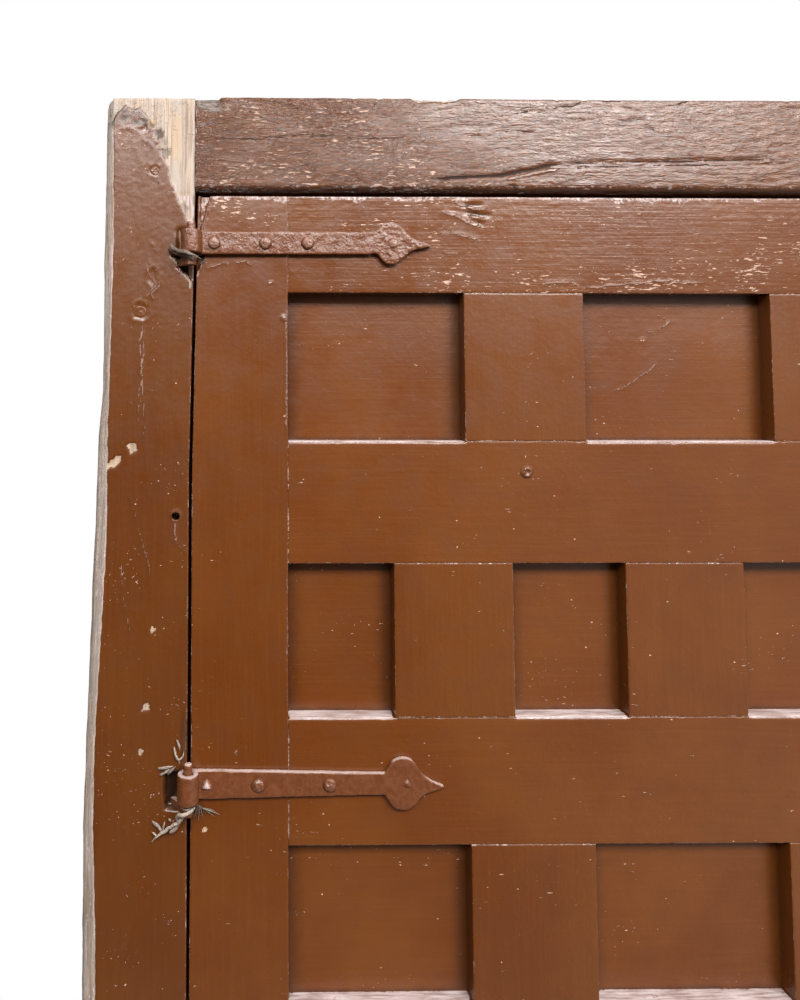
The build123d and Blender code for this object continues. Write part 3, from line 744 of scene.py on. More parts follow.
        # The dark layer goes near black; it holds dark paint and also painted shade under the head and at the panels'
        # edges.
        dark = g.most(g.attribute("dark"), crack)
        face = g.mix(dark, face, (0.016, 0.005, 0.002))
        rough = g.plus(g.step(mottle, 0.15, 0.85, (self.gloss, self.gloss + 0.12)), g.times(bare, 0.42))
        rough = g.plus(rough, g.times(g.most(pale, g.times(crack, 2.0)), 0.3),
                       clamp=True)
        normal = g.bump(brush, self.brush)
        normal = g.bump(g.noise(5.0, 3.0, 0.5, 0.3, w=17.0), 0.22, normal=normal)
        if self.wrinkle:
            normal, face = self.wrinkles(g, normal, face)
        if self.flaked:
            normal = g.bump(g.times(fibre, bare), 0.9, normal=normal)
        normal = g.bump(g.plus(glint_flecks, worn), 0.5, normal=normal)
        normal = g.bump(g.less(scar, crack), 0.8, normal=normal)
        return g.surface(Base_Color=face, Roughness=rough, Normal=normal)


@dataclass(frozen=True)
class PaintedIron:
    """Forged iron under many coats of the same paint.

    Args:
        name: the material's name.
        wear: how much rust shows, from 0 to 1.
    """

    name: str
    wear: float = 0.5

    def material(self) -> bpy.types.Material:
        """Build the material."""
        g = Graph(self.name)
        mottle = g.noise(9.0, 4.0, 0.6, 0.8, w=1.0)
        fine = g.noise(2.2, 3.0, 0.6, 0.5, w=2.0)
        colour = g.mix(g.step(mottle, 0.35, 0.68), (0.096, 0.029, 0.009), (0.120, 0.040, 0.0145))
        wrinkle = g.plus(g.attribute("pale"), g.around(fine, 1.5))
        silver = g.step(wrinkle, 0.5, 0.72)
        # Where pale is high the paint turns bright; on the forgings this is mostly a painted highlight on their
        # upward faces.
        bright = g.mix(g.step(g.attribute("pale"), 0.75, 0.95), (0.22, 0.128, 0.10), (0.42, 0.33, 0.31))
        colour = g.mix(g.times(silver, 0.85), colour, bright)
        rust = g.step(g.noise(5.0, 3.0, 0.6, w=4.0), 0.62, 0.72)
        colour = g.mix(g.times(rust, 0.5 * self.wear), colour, (0.22, 0.06, 0.018))
        colour = g.mix(g.attribute("dark"), colour, (0.012, 0.007, 0.005))
        rough = g.step(mottle, 0.3, 0.7, (0.2, 0.34))
        normal = g.bump(mottle, 0.9)
        normal = g.bump(fine, 0.5, normal=normal)
        return g.surface(Base_Color=colour, Roughness=rough, Normal=normal)


@dataclass(frozen=True)
class Fibre:
    """Dry grey splinters and frayed packing, partly painted.

    Args:
        name: the material's name.
    """

    name: str

    def material(self) -> bpy.types.Material:
        """Build the material."""
        g = Graph(self.name)
        strand = g.noise(1.2, 4.0, 0.7, w=1.0)
        dry = g.mix(g.step(strand, 0.35, 0.65), (0.13, 0.10, 0.08), (0.46, 0.395, 0.335))
        painted = g.mix(g.step(strand, 0.4, 0.7), (0.012, 0.006, 0.004), (0.12, 0.06, 0.03))
        colour = g.mix(g.attribute("pale"), painted, dry)
        return g.surface(Base_Color=colour, Roughness=0.5, Normal=g.bump(strand, 0.4))


@dataclass(frozen=True)
class Plain:
    """Plain pale floor.

    Args:
        name: the material's name.
        shade: its brightness.
        returned: how much light it throws back on to the door.
    """

    name: str
    shade: float
    returned: float = 0.2

    def material(self) -> bpy.types.Material:
        """Build the material."""
        g = Graph(self.name)
        cloud = g.noise(400.0, 2.0, 0.5)
        tone = g.mix(cloud, (self.shade * 0.97,) * 3, (self.shade,) * 3)
        seen = g.tree.nodes.new("ShaderNodeLightPath").outputs["Is Camera Ray"]
        return g.surface(Base_Color=g.mix(seen, (self.returned,) * 3, tone), Roughness=0.85)


@dataclass
class Finishes:
    """Every finish that the door needs, built once."""

    level: bpy.types.Material = field(init=False)
    top_rail: bpy.types.Material = field(init=False)
    upright: bpy.types.Material = field(init=False)
    lintel: bpy.types.Material = field(init=False)
    post: bpy.types.Material = field(init=False)
    panel: bpy.types.Material = field(init=False)
    iron: bpy.types.Material = field(init=False)
    fibre: bpy.types.Material = field(init=False)
    floor: bpy.types.Material = field(init=False)

    def __post_init__(self) -> None:
        """Build the materials."""
        level, upright = Along.LEVEL, Along.UPRIGHT
        self.level = OldPaint("paint_on_rails", level, glint_flecks=0.25, tick=3.2, cell=2.0, tint=1.05,
                              flaked=False).material()
        self.top_rail = OldPaint("paint_on_top_rail", level, brush=0.2, glint_flecks=0.7, tick=5.0, cell=1.7, gloss=0.2,
                                 crazing=0.055, flaked=False).material()
        self.upright = OldPaint("paint_on_stiles", upright, glint_flecks=0.2, tick=4.0, cell=1.9, crazing=0.13).material()
        self.lintel = OldPaint("paint_on_head", level, brush=0.2, wrinkle=0.6, glint_flecks=0.6, tick=5.0, cell=1.8,
                               gloss=0.2, tint=0.93, crazing=0.095).material()
        self.post = OldPaint("paint_on_posts", upright, brush=0.14, tick=1.5, cell=2.4, gloss=0.26,
                             tint=0.86).material()
        self.panel = OldPaint("paint_on_panels", level, brush=0.14, glint_flecks=0.32, tick=2.6, cell=1.9, gloss=0.26,
                              tint=1.08, flaked=False).material()
        self.iron = PaintedIron("paint_on_iron").material()
        self.fibre = Fibre("dry_fibre").material()
        self.floor = Plain("pale_floor", 0.82).material()


class Piece:
    """A visible piece made of one or more closed shells."""

    LAYERS = ("bare", "pale", "dark", "warm", "edge", "crack", "scar", "craze")

    def __init__(self, name: str, body: str, nodes: Sequence[str], slot: Slot, material: bpy.types.Material) -> None:
        """Start a piece with no shells.

        Args:
            name: the piece's name.
            body: the body it moves with.
            nodes: the solids it stands for.
            slot: its finish in the record; not used.
            material: its finish here.
        """
        self.name, self.body, self.nodes, self.slot, self.material = name, body, nodes, slot, material
        self.points: List[Array] = []
        self.faces: Faces = []
        self.layers: Dict[str, List[Array]] = {layer: [] for layer in self.LAYERS}
        self.count = 0

    def add(self, *parts: object) -> None:
        """Add the shells of timbers, caps or strands."""
        for part in parts:
            points, faces, surface = part.shell()
            flat = points.reshape(-1, 3)
            self.points.append(inside_box(flat))
            self.faces += [tuple(int(i) + self.count for i in face) for face in faces]
            for layer in self.LAYERS:
                self.layers[layer].append(getattr(surface, layer).reshape(-1))
            self.count += len(flat)

    def build(self) -> bpy.types.Object:
        """Make the object and put it on its body."""
        mesh = bpy.data.meshes.new(self.name)
        mesh.from_pydata((np.concatenate(self.points) * MM).tolist(), [], self.faces)
        for layer in self.LAYERS:
            values = np.concatenate(self.layers[layer])
            if values.any():
                held = mesh.attributes.new(layer, "FLOAT", "POINT")
                held.data.foreach_set("value", np.clip(values, 0, 1).astype(np.float32))
        mesh.polygons.foreach_set("use_smooth", np.ones(len(mesh.polygons), bool))
        mesh.update()
        mesh.validate()
        mesh.materials.append(self.material)
        obj = place_in_scene(self.name, mesh)
        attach(obj, self.body)
        if self.nodes:
            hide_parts(*self.nodes)
        LOG.info("%s: %d faces", self.name, len(mesh.polygons))
        return obj


@dataclass
class Corner:
    """One corner of a timber's section, as numbers or one value for each station.

    Args:
        across: its place across the face.
        depth: its place in depth.
        radius: how far its arris is worn round.
        parts: steps on the side that follows it.
    """

    across: object
    depth: object
    radius: object
    parts: int


@dataclass
class Timber:
    """A timber as a section swept along its length.

    Args:
        along: the way it runs.
        stations: places along its length.
        corners: its section's corners, front side first, from the low end of the face.
        seed: picks its pattern.
        relief: how uneven it is.
        end_round: how far its ends are rounded.
        marks: its dents, chips and cracks.
        dress: adds anything else to its surface.
        edge_wear: how worn its arrises are.
    """

    along: Along
    stations: Array
    corners: List[Corner]
    seed: int
    relief: Relief
    end_round: float = 0.6
    marks: Sequence[object] = ()
    dress: Optional[Callable[[Surface, Array, Array], None]] = None
    edge_wear: float = 1.0

    BENDS = (0.0, 0.25, 0.5, 0.75, 1.0)

    def loops(self) -> Tuple[Array, Array, Array]:
        """Section loops at every station, with each column's corner bend and side."""
        n = len(self.stations)
        pts = np.stack([np.stack([np.broadcast_to(np.asarray(c.across, float), n),
                                  np.broadcast_to(np.asarray(c.depth, float), n)], -1) for c in self.corners])
        rad = np.stack([np.broadcast_to(np.asarray(c.radius, float), n) for c in self.corners])[..., None]
        before = np.roll(pts, 1, 0) - pts
        after = np.roll(pts, -1, 0) - pts
        before /= np.maximum(np.linalg.norm(before, axis=-1, keepdims=True), 1e-9)
        after /= np.maximum(np.linalg.norm(after, axis=-1, keepdims=True), 1e-9)
        columns, bends, sides = [], [], []
        total = len(self.corners)
        for i in range(total):
            start, end = pts[i] + rad[i] * before[i], pts[i] + rad[i] * after[i]
            for t in self.BENDS:
                columns.append((1 - t) ** 2 * start + 2 * t * (1 - t) * pts[i] + t * t * end)
                bends.append(1 - abs(2 * t - 1))
                sides.append(i - 0.5 if 0 < t < 1 else i - 1 if t == 0 else i)
            following = (i + 1) % total
            nxt = pts[following] + rad[following] * before[following]
            for step in range(1, self.corners[i].parts):
                f = step / self.corners[i].parts
                columns.append(end * (1 - f) + nxt * f)
                bends.append(0.0)
                sides.append(i)
        loops = np.stack(columns, 1)
        ends = np.minimum(self.stations - self.stations[0], self.stations[-1] - self.stations)
        r = self.end_round
        short = np.clip(r - ends, 0, r)
        inset = (r - np.sqrt(np.maximum(r * r - short * short, 0)))[:, None, None]
        middle = loops.mean(1, keepdims=True)
        away = loops - middle
        loops = middle + np.sign(away) * np.maximum(np.abs(away) - inset, 0)
        return loops, np.array(bends), np.array(sides)

    def shell(self) -> Tuple[Array, Faces, Surface]:
        """Points, faces and marked surface of the whole timber."""
        loops, bends, sides = self.loops()
        n, m = loops.shape[:2]
        run = np.broadcast_to(self.stations[:, None], (n, m))
        tangent = np.roll(loops, -1, 1) - np.roll(loops, 1, 1)
        length = np.maximum(np.hypot(tangent[..., 0], tangent[..., 1]), 1e-9)
        out_across, out_depth = tangent[..., 1] / length, -tangent[..., 0] / length
        zero = np.zeros((n, m))
        if self.along is Along.UPRIGHT:
            points = np.stack([loops[..., 0], loops[..., 1], run], -1)
            normals = np.stack([out_across, out_depth, zero], -1)
        else:
            points = np.stack([run, loops[..., 1], loops[..., 0]], -1)
            normals = np.stack([zero, out_depth, out_across], -1)
        surface = Surface.over(points)
        surface.height += self.relief.heights(points, self.along, self.seed)
        close = np.where((bends > 0) & (np.abs(out_depth).mean(0) < 0.98), bends, 0.0)
        wear = 0.75 + 0.5 * Noise.layered(points, (16.0, 30.0, 16.0), self.seed + 51, 3)
        front = normals[..., 1] < -0.3
        tips = np.minimum(self.stations - self.stations[0], self.stations[-1] - self.stations)
        near_tip = 0.9 * smooth(1.8, 0.8, tips)[:, None] * front
        surface.edge += self.edge_wear * np.maximum(close[None, :], near_tip) * wear
        marked = Surface.over(points)
        for mark in self.marks:
            mark.press(marked)
        for name in ("height", "bare", "pale", "dark", "warm", "crack", "scar"):
            held = getattr(surface, name)
            held += np.where(front, getattr(marked, name), 0)
        if self.dress is not None:
            self.dress(surface, normals, sides)
        points = points + normals * surface.height[..., None]
        flip = self.along is Along.LEVEL
        index = np.arange(n * m).reshape(n, m)
        a, b = index[:-1], np.roll(index, -1, 1)[:-1]
        c, d = np.roll(index, -1, 1)[1:], index[1:]
        quads = np.stack([a, d, c, b] if flip else [a, b, c, d], -1).reshape(-1, 4)
        faces = [tuple(q) for q in quads.tolist()]
        first, last = list(range(m)), list(range((n - 1) * m, n * m))
        faces.append(tuple(first if flip else first[::-1]))
        faces.append(tuple(last[::-1] if flip else last))
        return points, faces, surface


def squared(low: object, high: object, front: float, back: float, radii: Sequence[object],
            parts: Sequence[int]) -> List[Corner]:
    """Corners of a squared section, from the low end of its face.

    Args:
        low: the low end of the face.
        high: the high end of the face.
        front: depth of the face.
        back: depth of the back.
        radii: how far each arris is worn round.
        parts: steps on the side that follows each corner.

    Returns:
        The four corners.
    """
    ends = ((low, front), (high, front), (high, back), (low, back))
    return [Corner(across, depth, radius, count) for (across, depth), radius, count in zip(ends, radii, parts)]


def steps(low: float, high: float, coarse: float, fine: float = 0.0, window: Point = (0.0, 0.0),
          end: float = 0.6) -> Array:
    """Places along a length, closer together inside a window and at both ends.

    Args:
        low: the start.
        high: the end.
        coarse: spacing outside the window.
        fine: spacing inside it, or 0 for no window.
        window: its two limits.
        end: how far each end is rounded.

    Returns:
        The places in order.
    """
    places = set(np.linspace(low, high, max(2, int(round((high - low) / coarse)) + 1)).tolist())
    if fine:
        a, b = max(low, window[0]), min(high, window[1])
        if b > a:
            places = {p for p in places if not a < p < b} | set(np.linspace(a, b, int((b - a) / fine) + 2).tolist())
    ordered = np.array(sorted(places))
    keep = (ordered > low + 1.4 * end) & (ordered < high - 1.4 * end)
    tips = [low, low + 0.3 * end, low + end, high - end, high - 0.3 * end, high]
    return np.unique(np.concatenate([tips, ordered[keep]]))


def worn_radius(places: Array, base: float, extra: float, seed: int, size: float = 14.0) -> Array:
    """Radius of a worn arris along its length: mostly small, with larger knocks here and there."""
    points = np.stack([places, np.zeros_like(places), np.zeros_like(places)], -1)
    knocks = smooth(0.12, 0.55, Noise.layered(points, (size, 1.0, 1.0), seed, 3))
    slow = 0.5 + 0.5 * Noise.layered(points, (size * 5, 1.0, 1.0), seed + 5, 2)
    return base * (0.7 + 0.6 * slow) + extra * knocks


@dataclass
class LeafTimbers:
    """Stiles, rails, muntins and panels of the leaf."""

    finishes: Finishes
    fine: float = 2.5
    near: float = 1.8
    coarse: float = 9.0
    arris: float = 0.9

    UPRIGHT_RELIEF = Relief(0.45, 0.04, 8.0, 120.0, 0.05)
    LEVEL_RELIEF = Relief(0.45, 0.05, 6.0, 80.0, 0.05)
    SHORT_RELIEF = Relief(0.35, 0.04, 7.0, 60.0, 0.05)
    PANEL_RELIEF = Relief(0.7, 0.04, 9.0, 60.0, 0.07)
    DUST_AND_SHEEN = (0.0, 0.85, 1.0, 0.8, 0.7, 0.7, 0.7, 0.7)
    RAIL_MARKS = {
        1: (Mark(-157.6, 1737.4, 1.6, 1.6, depth=-0.5, pale=0.5), Mark(-133.7, 1728.5, 2.6, 1, turn=-25, depth=0.6)),
        # Chipped notch on the top rail: its pale ridges are painted highlights and its dark hollows painted shade.
        0: (Crack(((-239.8, 1984.1), (-222, 1979), (-208, 1971.5), (-197, 1968.5)), 1.5, -0.9, 1.2, 0.75),
            Crack(((-226, 1993), (-214, 1990), (-204, 1986.5), (-190, 1987.5)), 1.3, -0.8, 1.2, 0.6),
            Crack(((-213, 1982), (-203, 1977.5), (-192, 1976.5)), 1.3, -0.8, 1.2, 0.7),
            Crack(((-224.6, 1960.5), (-213, 1958.5), (-201, 1954.7)), 1, -0.7, 1, 0.7),
            Mark(-206, 1990.3, 12, 1.7, turn=-4, depth=1.6, dark=0.75, ragged=0.5),
            Mark(-201, 1981.5, 12, 2, turn=-8, depth=1.8, dark=0.8, ragged=0.5),
            Mark(-203, 1973.5, 8, 1.4, turn=-20, depth=1.3, dark=0.55, ragged=0.5),
            Crack(((-240, 1962), (-215, 1960.5)), 0.7, -0.4), Crack(((-238, 1940.5), (-216, 1941.5)), 0.7, -0.4),
            Crack(((-140, 1910.5), (-118, 1912.5), (-98, 1909)), 1, -0.5),
            Crack(((-95, 1905.5), (-60, 1910), (-20, 1914), (30, 1912)), 1.1, -0.5, 3, 0.3),
            # Pale line on the arris by the first opening: a painted highlight.
            Crack(((-394, 1985), (-395.5, 1975), (-393.6, 1966)), 1, -0.4, 0.8, 0.5)),
    }
    STILE_MARKS = (
        Mark(-475.9, 1378.1, 2.6, 2.6, depth=0.4, bare=0.9, warm=1),
        Crack(((-444.2, 1453.5), (-446, 1450.3), (-444.2, 1447.2)), 0.8, -0.6, 0.4, 0.6),
        Crack(((-477, 1925), (-470, 1927), (-460, 1930), (-450, 1930)), 0.8, -0.5, 1, 0.3),
        Crack(((-448, 1930), (-438, 1932), (-430, 1928)), 0.8, -0.5, 1.5, 0.2),
        # Pale lines along the stile's arris by the openings: painted highlights.
        Crack(((-396.2, 1894), (-395.7, 1820), (-396.2, 1752)), 0.75, -0.5, 0.5, 0.35),
        Crack(((-396, 1634), (-395.8, 1560), (-396, 1482)), 0.6, -0.4, 0.4, 0.25),
        Mark(-412, 1911, 2, 1.4, depth=-0.6, pale=0.6),
        Mark(-398.5, 1875, 2.4, 3.4, depth=-0.7, pale=0.5),
    )
    PANEL_MARKS = (
        Crack(((-17.7, 1884.1), (2.3, 1874), (-8, 1866), (-23.5, 1861.8)), 0.8, -0.6, 1.2, 0.4),
        Mark(-26.7, 1853.7, 3, 1.6, depth=-0.6, pale=0.6), Mark(-25.2, 1838.6, 2.6, 2, depth=-0.6, pale=0.5),
        Crack(((-63.6, 1800.3), (-48, 1806), (-29.8, 1817.4), (-20, 1824), (-11.1, 1833.6)), 0.7, -0.6, 1.2, 0.2),
    )

    def ridged_top(self, surface: Surface, normals: Array, sides: Array) -> None:
        """Raised, level ridges of thick paint near the top of the leaf, above and below the first strap, crazing
        there, and a painted highlight along the leaf's top edge.
        """
        p = surface.points
        top = smooth(1905.0, 1985.0, p[..., 2]) * (normals[..., 1] < -0.5)
        bent = p.copy()
        bent[..., 2] += 5.0 * Noise.plain(p, 60.0, 71)
        ridge = 1 - 2 * np.abs(Noise.layered(bent, (34.0, 9.0, 4.6), 72, 3, 0.6))
        surface.height += 0.1 * top * ridge
        lower_right = smooth(-330.0, -80.0, p[..., 0]) * smooth(1985.0, 1925.0, p[..., 2])
        above_strap = smooth(-250.0, -330.0, p[..., 0]) * smooth(1925.0, 1965.0, p[..., 2])
        uneven = Noise.layered(p, (70.0, 70.0, 18.0), 73, 3)
        surface.show(craze=np.clip(np.maximum(lower_right, above_strap) + 0.8 * uneven, 0, 1.2))
        # Upward faces at the leaf's top and a band just below it are painted pale: a painted highlight.
        top_edge_highlight = smooth(0.2, 0.7, normals[..., 2]) * (p[..., 2] > 1990.0) * (p[..., 1] < SIZES.front + 5.0)
        band = smooth(1993.0, 1996.5, p[..., 2] + 6.0 * Noise.layered(p, 24.0, 70, 2)) * (normals[..., 1] < -0.5)
        surface.show(pale=np.maximum(0.62 * top_edge_highlight, 0.5 * band))

    def hinge_stile(self) -> None:
        """The stile beside the gap, with its worn top corner and the hollow under the first eye."""
        s = SIZES
        z = steps(s.leaf_bottom, s.leaf_top, self.coarse, self.near, (s.window_foot, s.window_top), 1.2)
        hollow = np.exp(-(((z - s.hollow) / 20.0) ** 2))
        left = worn_radius(z, 1.3, 1.6, 5) + 2.0 * hollow
        corners = squared(s.leaf_left + s.lean_at(z), s.inner_left, s.front, s.leaf_back,
                          (left, worn_radius(z, 0.7, 0.8, 6), 1.5, 1.5), (52, 6, 10, 6))

        def dress(surface: Surface, normals: Array, sides: Array) -> None:
            """Worn corner, funnels, hinge wear and open joints."""
            self.ridged_top(surface, normals, sides)
            p = surface.points
            x, zz = p[..., 0], p[..., 2]
            surface.craze *= smooth(1890.0, 1925.0, zz)
            front = normals[..., 1] < -0.5
            rough = Noise.layered(p, (6.0, 6.0, 14.0), 81, 3)
            line = -485.0 + (zz - 1953.0) * 0.27 + 1.5 * rough
            corner = smooth(1.5, -1.5, x - line) * front * (zz > 1948.0)
            surface.height -= corner * (4.5 + 2.5 * rough)
            surface.show(pale=corner * (0.42 + 0.5 * rough))
            surface.show(scar=np.clip(1 - np.abs(x - line - 0.5) / 5.0, 0, 1) * front * (zz > 1953.0))
            for eye in s.eyes:
                top = eye.foot
                if eye.spade:
                    low = top - s.pit
                    reach = 12.0 * np.clip((zz - low) / s.pit, 0, 1) + 1.5 * rough
                    pit = smooth(1.0, -1.5, x - (s.axis_x + reach)) * (zz < top + 1) * (zz > low) * front
                    surface.height -= 12.0 * pit
                    beside = smooth(5.0, 0.5, np.abs(x - (s.axis_x + reach + 2.0)))
                    ring = beside * (zz < top + 2) * (zz > low - 9) * front
                    surface.show(bare=0.45 * ring * (x < s.axis_x + 16))
                    surface.show(dark=0.9 * pit)
                else:
                    fan = smooth(24.0, 6.0, np.hypot(x - (s.axis_x + 8), (zz - (top - 8)) * 0.9)) * front
                    surface.height += 0.8 * fan * np.abs(Noise.layered(p, (2.4, 6.0, 7.0), 83, 2))
                    surface.show(bare=0.2 * fan * (x < s.axis_x + 14))
            hollow_here = np.exp(-(((zz - s.hollow) / 22.0) ** 2)) * (x < s.leaf_left + 4)
            surface.show(bare=0.3 * hollow_here * front)

        piece = Piece("hinge_stile_face", "leaf", ["hinge_stile"], Slot.TIMBER, self.finishes.upright)
        piece.add(Timber(Along.UPRIGHT, z, corners, 101, self.UPRIGHT_RELIEF, 1.2, self.STILE_MARKS, dress))
        piece.build()

    def lock_stile(self) -> None:
        """The plain stile on the lock side."""
        s = SIZES
        z = steps(s.leaf_bottom, s.leaf_top, self.coarse, end=1.2)
        corners = squared(s.inner_right, s.leaf_right, s.front, s.leaf_back,
                          (worn_radius(z, 0.8, 0.8, 8), worn_radius(z, 1.4, 1.8, 9), 1.5, 1.0), (14, 5, 8, 5))
        piece = Piece("lock_stile_face", "leaf", ["lock_stile"], Slot.TIMBER, self.finishes.upright)
        piece.add(Timber(Along.UPRIGHT, z, corners, 103, self.UPRIGHT_RELIEF, 1.2))
        piece.build()

    def rail(self, index: int) -> None:
        """A rail between the stiles.

        Args:
            index: counted from 0 at the top.
        """
        s = SIZES
        low, high = s.rails[index]
        seen = high > s.window_foot - 60
        x = steps(s.inner_left, s.inner_right, self.coarse, self.fine if seen else 0.0, (-500.0, s.window_right), 0.7)
        across = int((high - low) / (self.fine if seen else self.coarse))
        upper = worn_radius(x, self.arris, 1.3, 20 + index)
        ledge = np.zeros_like(x)
        if index > 0:
            for a, b in s.bays(index - 1):
                ledge = np.maximum(ledge, smooth(-2.0, 1.0, x - a) * smooth(2.0, -1.0, x - b))
        upper = upper * (1 - ledge) + (2.4 + upper) * ledge
        edges = 9 if seen else 5
        corners = squared(low, high, s.front, s.leaf_back,
                          (worn_radius(x, self.arris, 1.1, 40 + index), upper, 1.0, 1.0), (across, edges, 9, edges))

        def dress(surface: Surface, normals: Array, sides: Array) -> None:
            """Thick paint along the top rail, and pale, dusty ledges with a painted reflection of the light above."""
            p = surface.points
            if index == 0:
                self.ridged_top(surface, normals, sides)
            if index > 0:
                # Upward ledges in each opening are painted pale, part dusty and part a painted reflection of the
                # light above.
                upward = smooth(0.25, 0.8, normals[..., 2]) * (p[..., 1] < s.front + s.panel_recess)
                inside = np.zeros_like(upward)
                for a, b in s.bays(index - 1):
                    inside = np.maximum(inside, smooth(0.0, 1.5, p[..., 0] - a) * smooth(0.0, -1.5, p[..., 0] - b))
                patchy = 0.5 + 0.5 * Noise.layered(p, (26.0, 8.0, 8.0), 91 + index, 2)
                surface.show(pale=upward * inside * np.clip(self.DUST_AND_SHEEN[index] * (0.55 + patchy), 0, 1))

        finish = self.finishes.level if index else self.finishes.top_rail
        marks = self.RAIL_MARKS.get(index, ())
        piece = Piece(f"rail_{index + 1}_face", "leaf", [f"rail_{index + 1}"], Slot.TIMBER, finish)
        piece.add(Timber(Along.LEVEL, x, corners, 110 + index, self.LEVEL_RELIEF, 0.7, marks, dress))
        piece.build()

    def muntin(self, row: int, place: int, left: float, right: float) -> None:
        """A short upright between two rails.

        Args:
            row: counted from 0 at the top.
            place: counted from 0 at the hinge side.
            left: its left side.
            right: its right side.
        """
        s = SIZES
        low, high = s.rails[row + 1][1], s.rails[row][0]
        seen = row < 3 and left < s.window_right
        z = steps(low, high, self.coarse, self.fine if seen else 0.0, (0.0, s.window_top), 0.7)
        across = int((right - left) / (self.fine if seen else self.coarse))
        seed = 200 + 10 * row + place
        arrises = [worn_radius(z, self.arris, 1.4, seed + side) for side in (1, 2)]
        corners = squared(left, right, s.front, s.leaf_back, (*arrises, 1.0, 1.0), (across, 6, 6, 6))
        name = f"muntin_{row + 1}_{place + 1}"
        piece = Piece(f"{name}_face", "leaf", [name], Slot.TIMBER, self.finishes.upright)
        piece.add(Timber(Along.UPRIGHT, z, corners, seed, self.SHORT_RELIEF, 0.7))
        piece.build()

    def panels(self, row: int) -> None:
        """The recessed panels of one row.

        Args:
            row: counted from 0 at the top.
        """
        s = SIZES
        low, high = s.rails[row + 1][1] - 5.0, s.rails[row][0] + 5.0
        front = s.front + s.panel_recess
        node = f"panels_row_{row + 1}"
        piece = Piece(f"{node}_boards", "leaf", [node], Slot.PANEL, self.finishes.panel)
        for place, (left, right) in enumerate(s.bays(row)):
            seen = row < 3 and left < s.window_right
            x = steps(left - 5.0, right + 5.0, self.coarse * 1.4, 2.8 if seen else 0.0, (-500.0, s.window_right), 0.6)
            across = int((high - low) / (2.8 if seen else self.coarse * 1.4))
            corners = squared(low, high, front, front + s.panel_depth, (0.6,) * 4, (across, 2, 6, 2))

            def dress(surface: Surface, normals: Array, sides: Array, span: Point = (left, right)) -> None:
                """Painted shade towards the panel's edges, strongest at its sides."""
                p = surface.points
                inset = np.minimum(np.minimum(p[..., 0] - span[0], span[1] - p[..., 0]),
                                   np.minimum(p[..., 2] - low - 5.0, high - 5.0 - p[..., 2]))
                uneven = Noise.layered(p, 12.0, 97, 2)
                # Darker near every edge and at the sides: painted shade where the panel sits in its recess.
                surface.show(dark=0.6 * smooth(5.0, 0.0, inset + 2.0 * uneven))
                side = np.minimum(p[..., 0] - span[0], span[1] - p[..., 0])
                surface.show(dark=(0.38 + 0.2 * uneven) * smooth(19.0, 4.0, side + 5.0 * uneven))

            marks = self.PANEL_MARKS if row == 0 and place == 1 else ()
            piece.add(Timber(Along.LEVEL, x, corners, 300 + 10 * row + place, self.PANEL_RELIEF, 0.6, marks, dress,
                             0.0))
        piece.build()

    def build(self) -> None:
        """Build every timber of the leaf."""
        self.hinge_stile()
        self.lock_stile()
        for index in range(len(SIZES.rails)):
            self.rail(index)
        for row in range(len(SIZES.rails) - 1):
            for place, (left, right) in enumerate(SIZES.muntins(row)):
                self.muntin(row, place, left, right)
            self.panels(row)


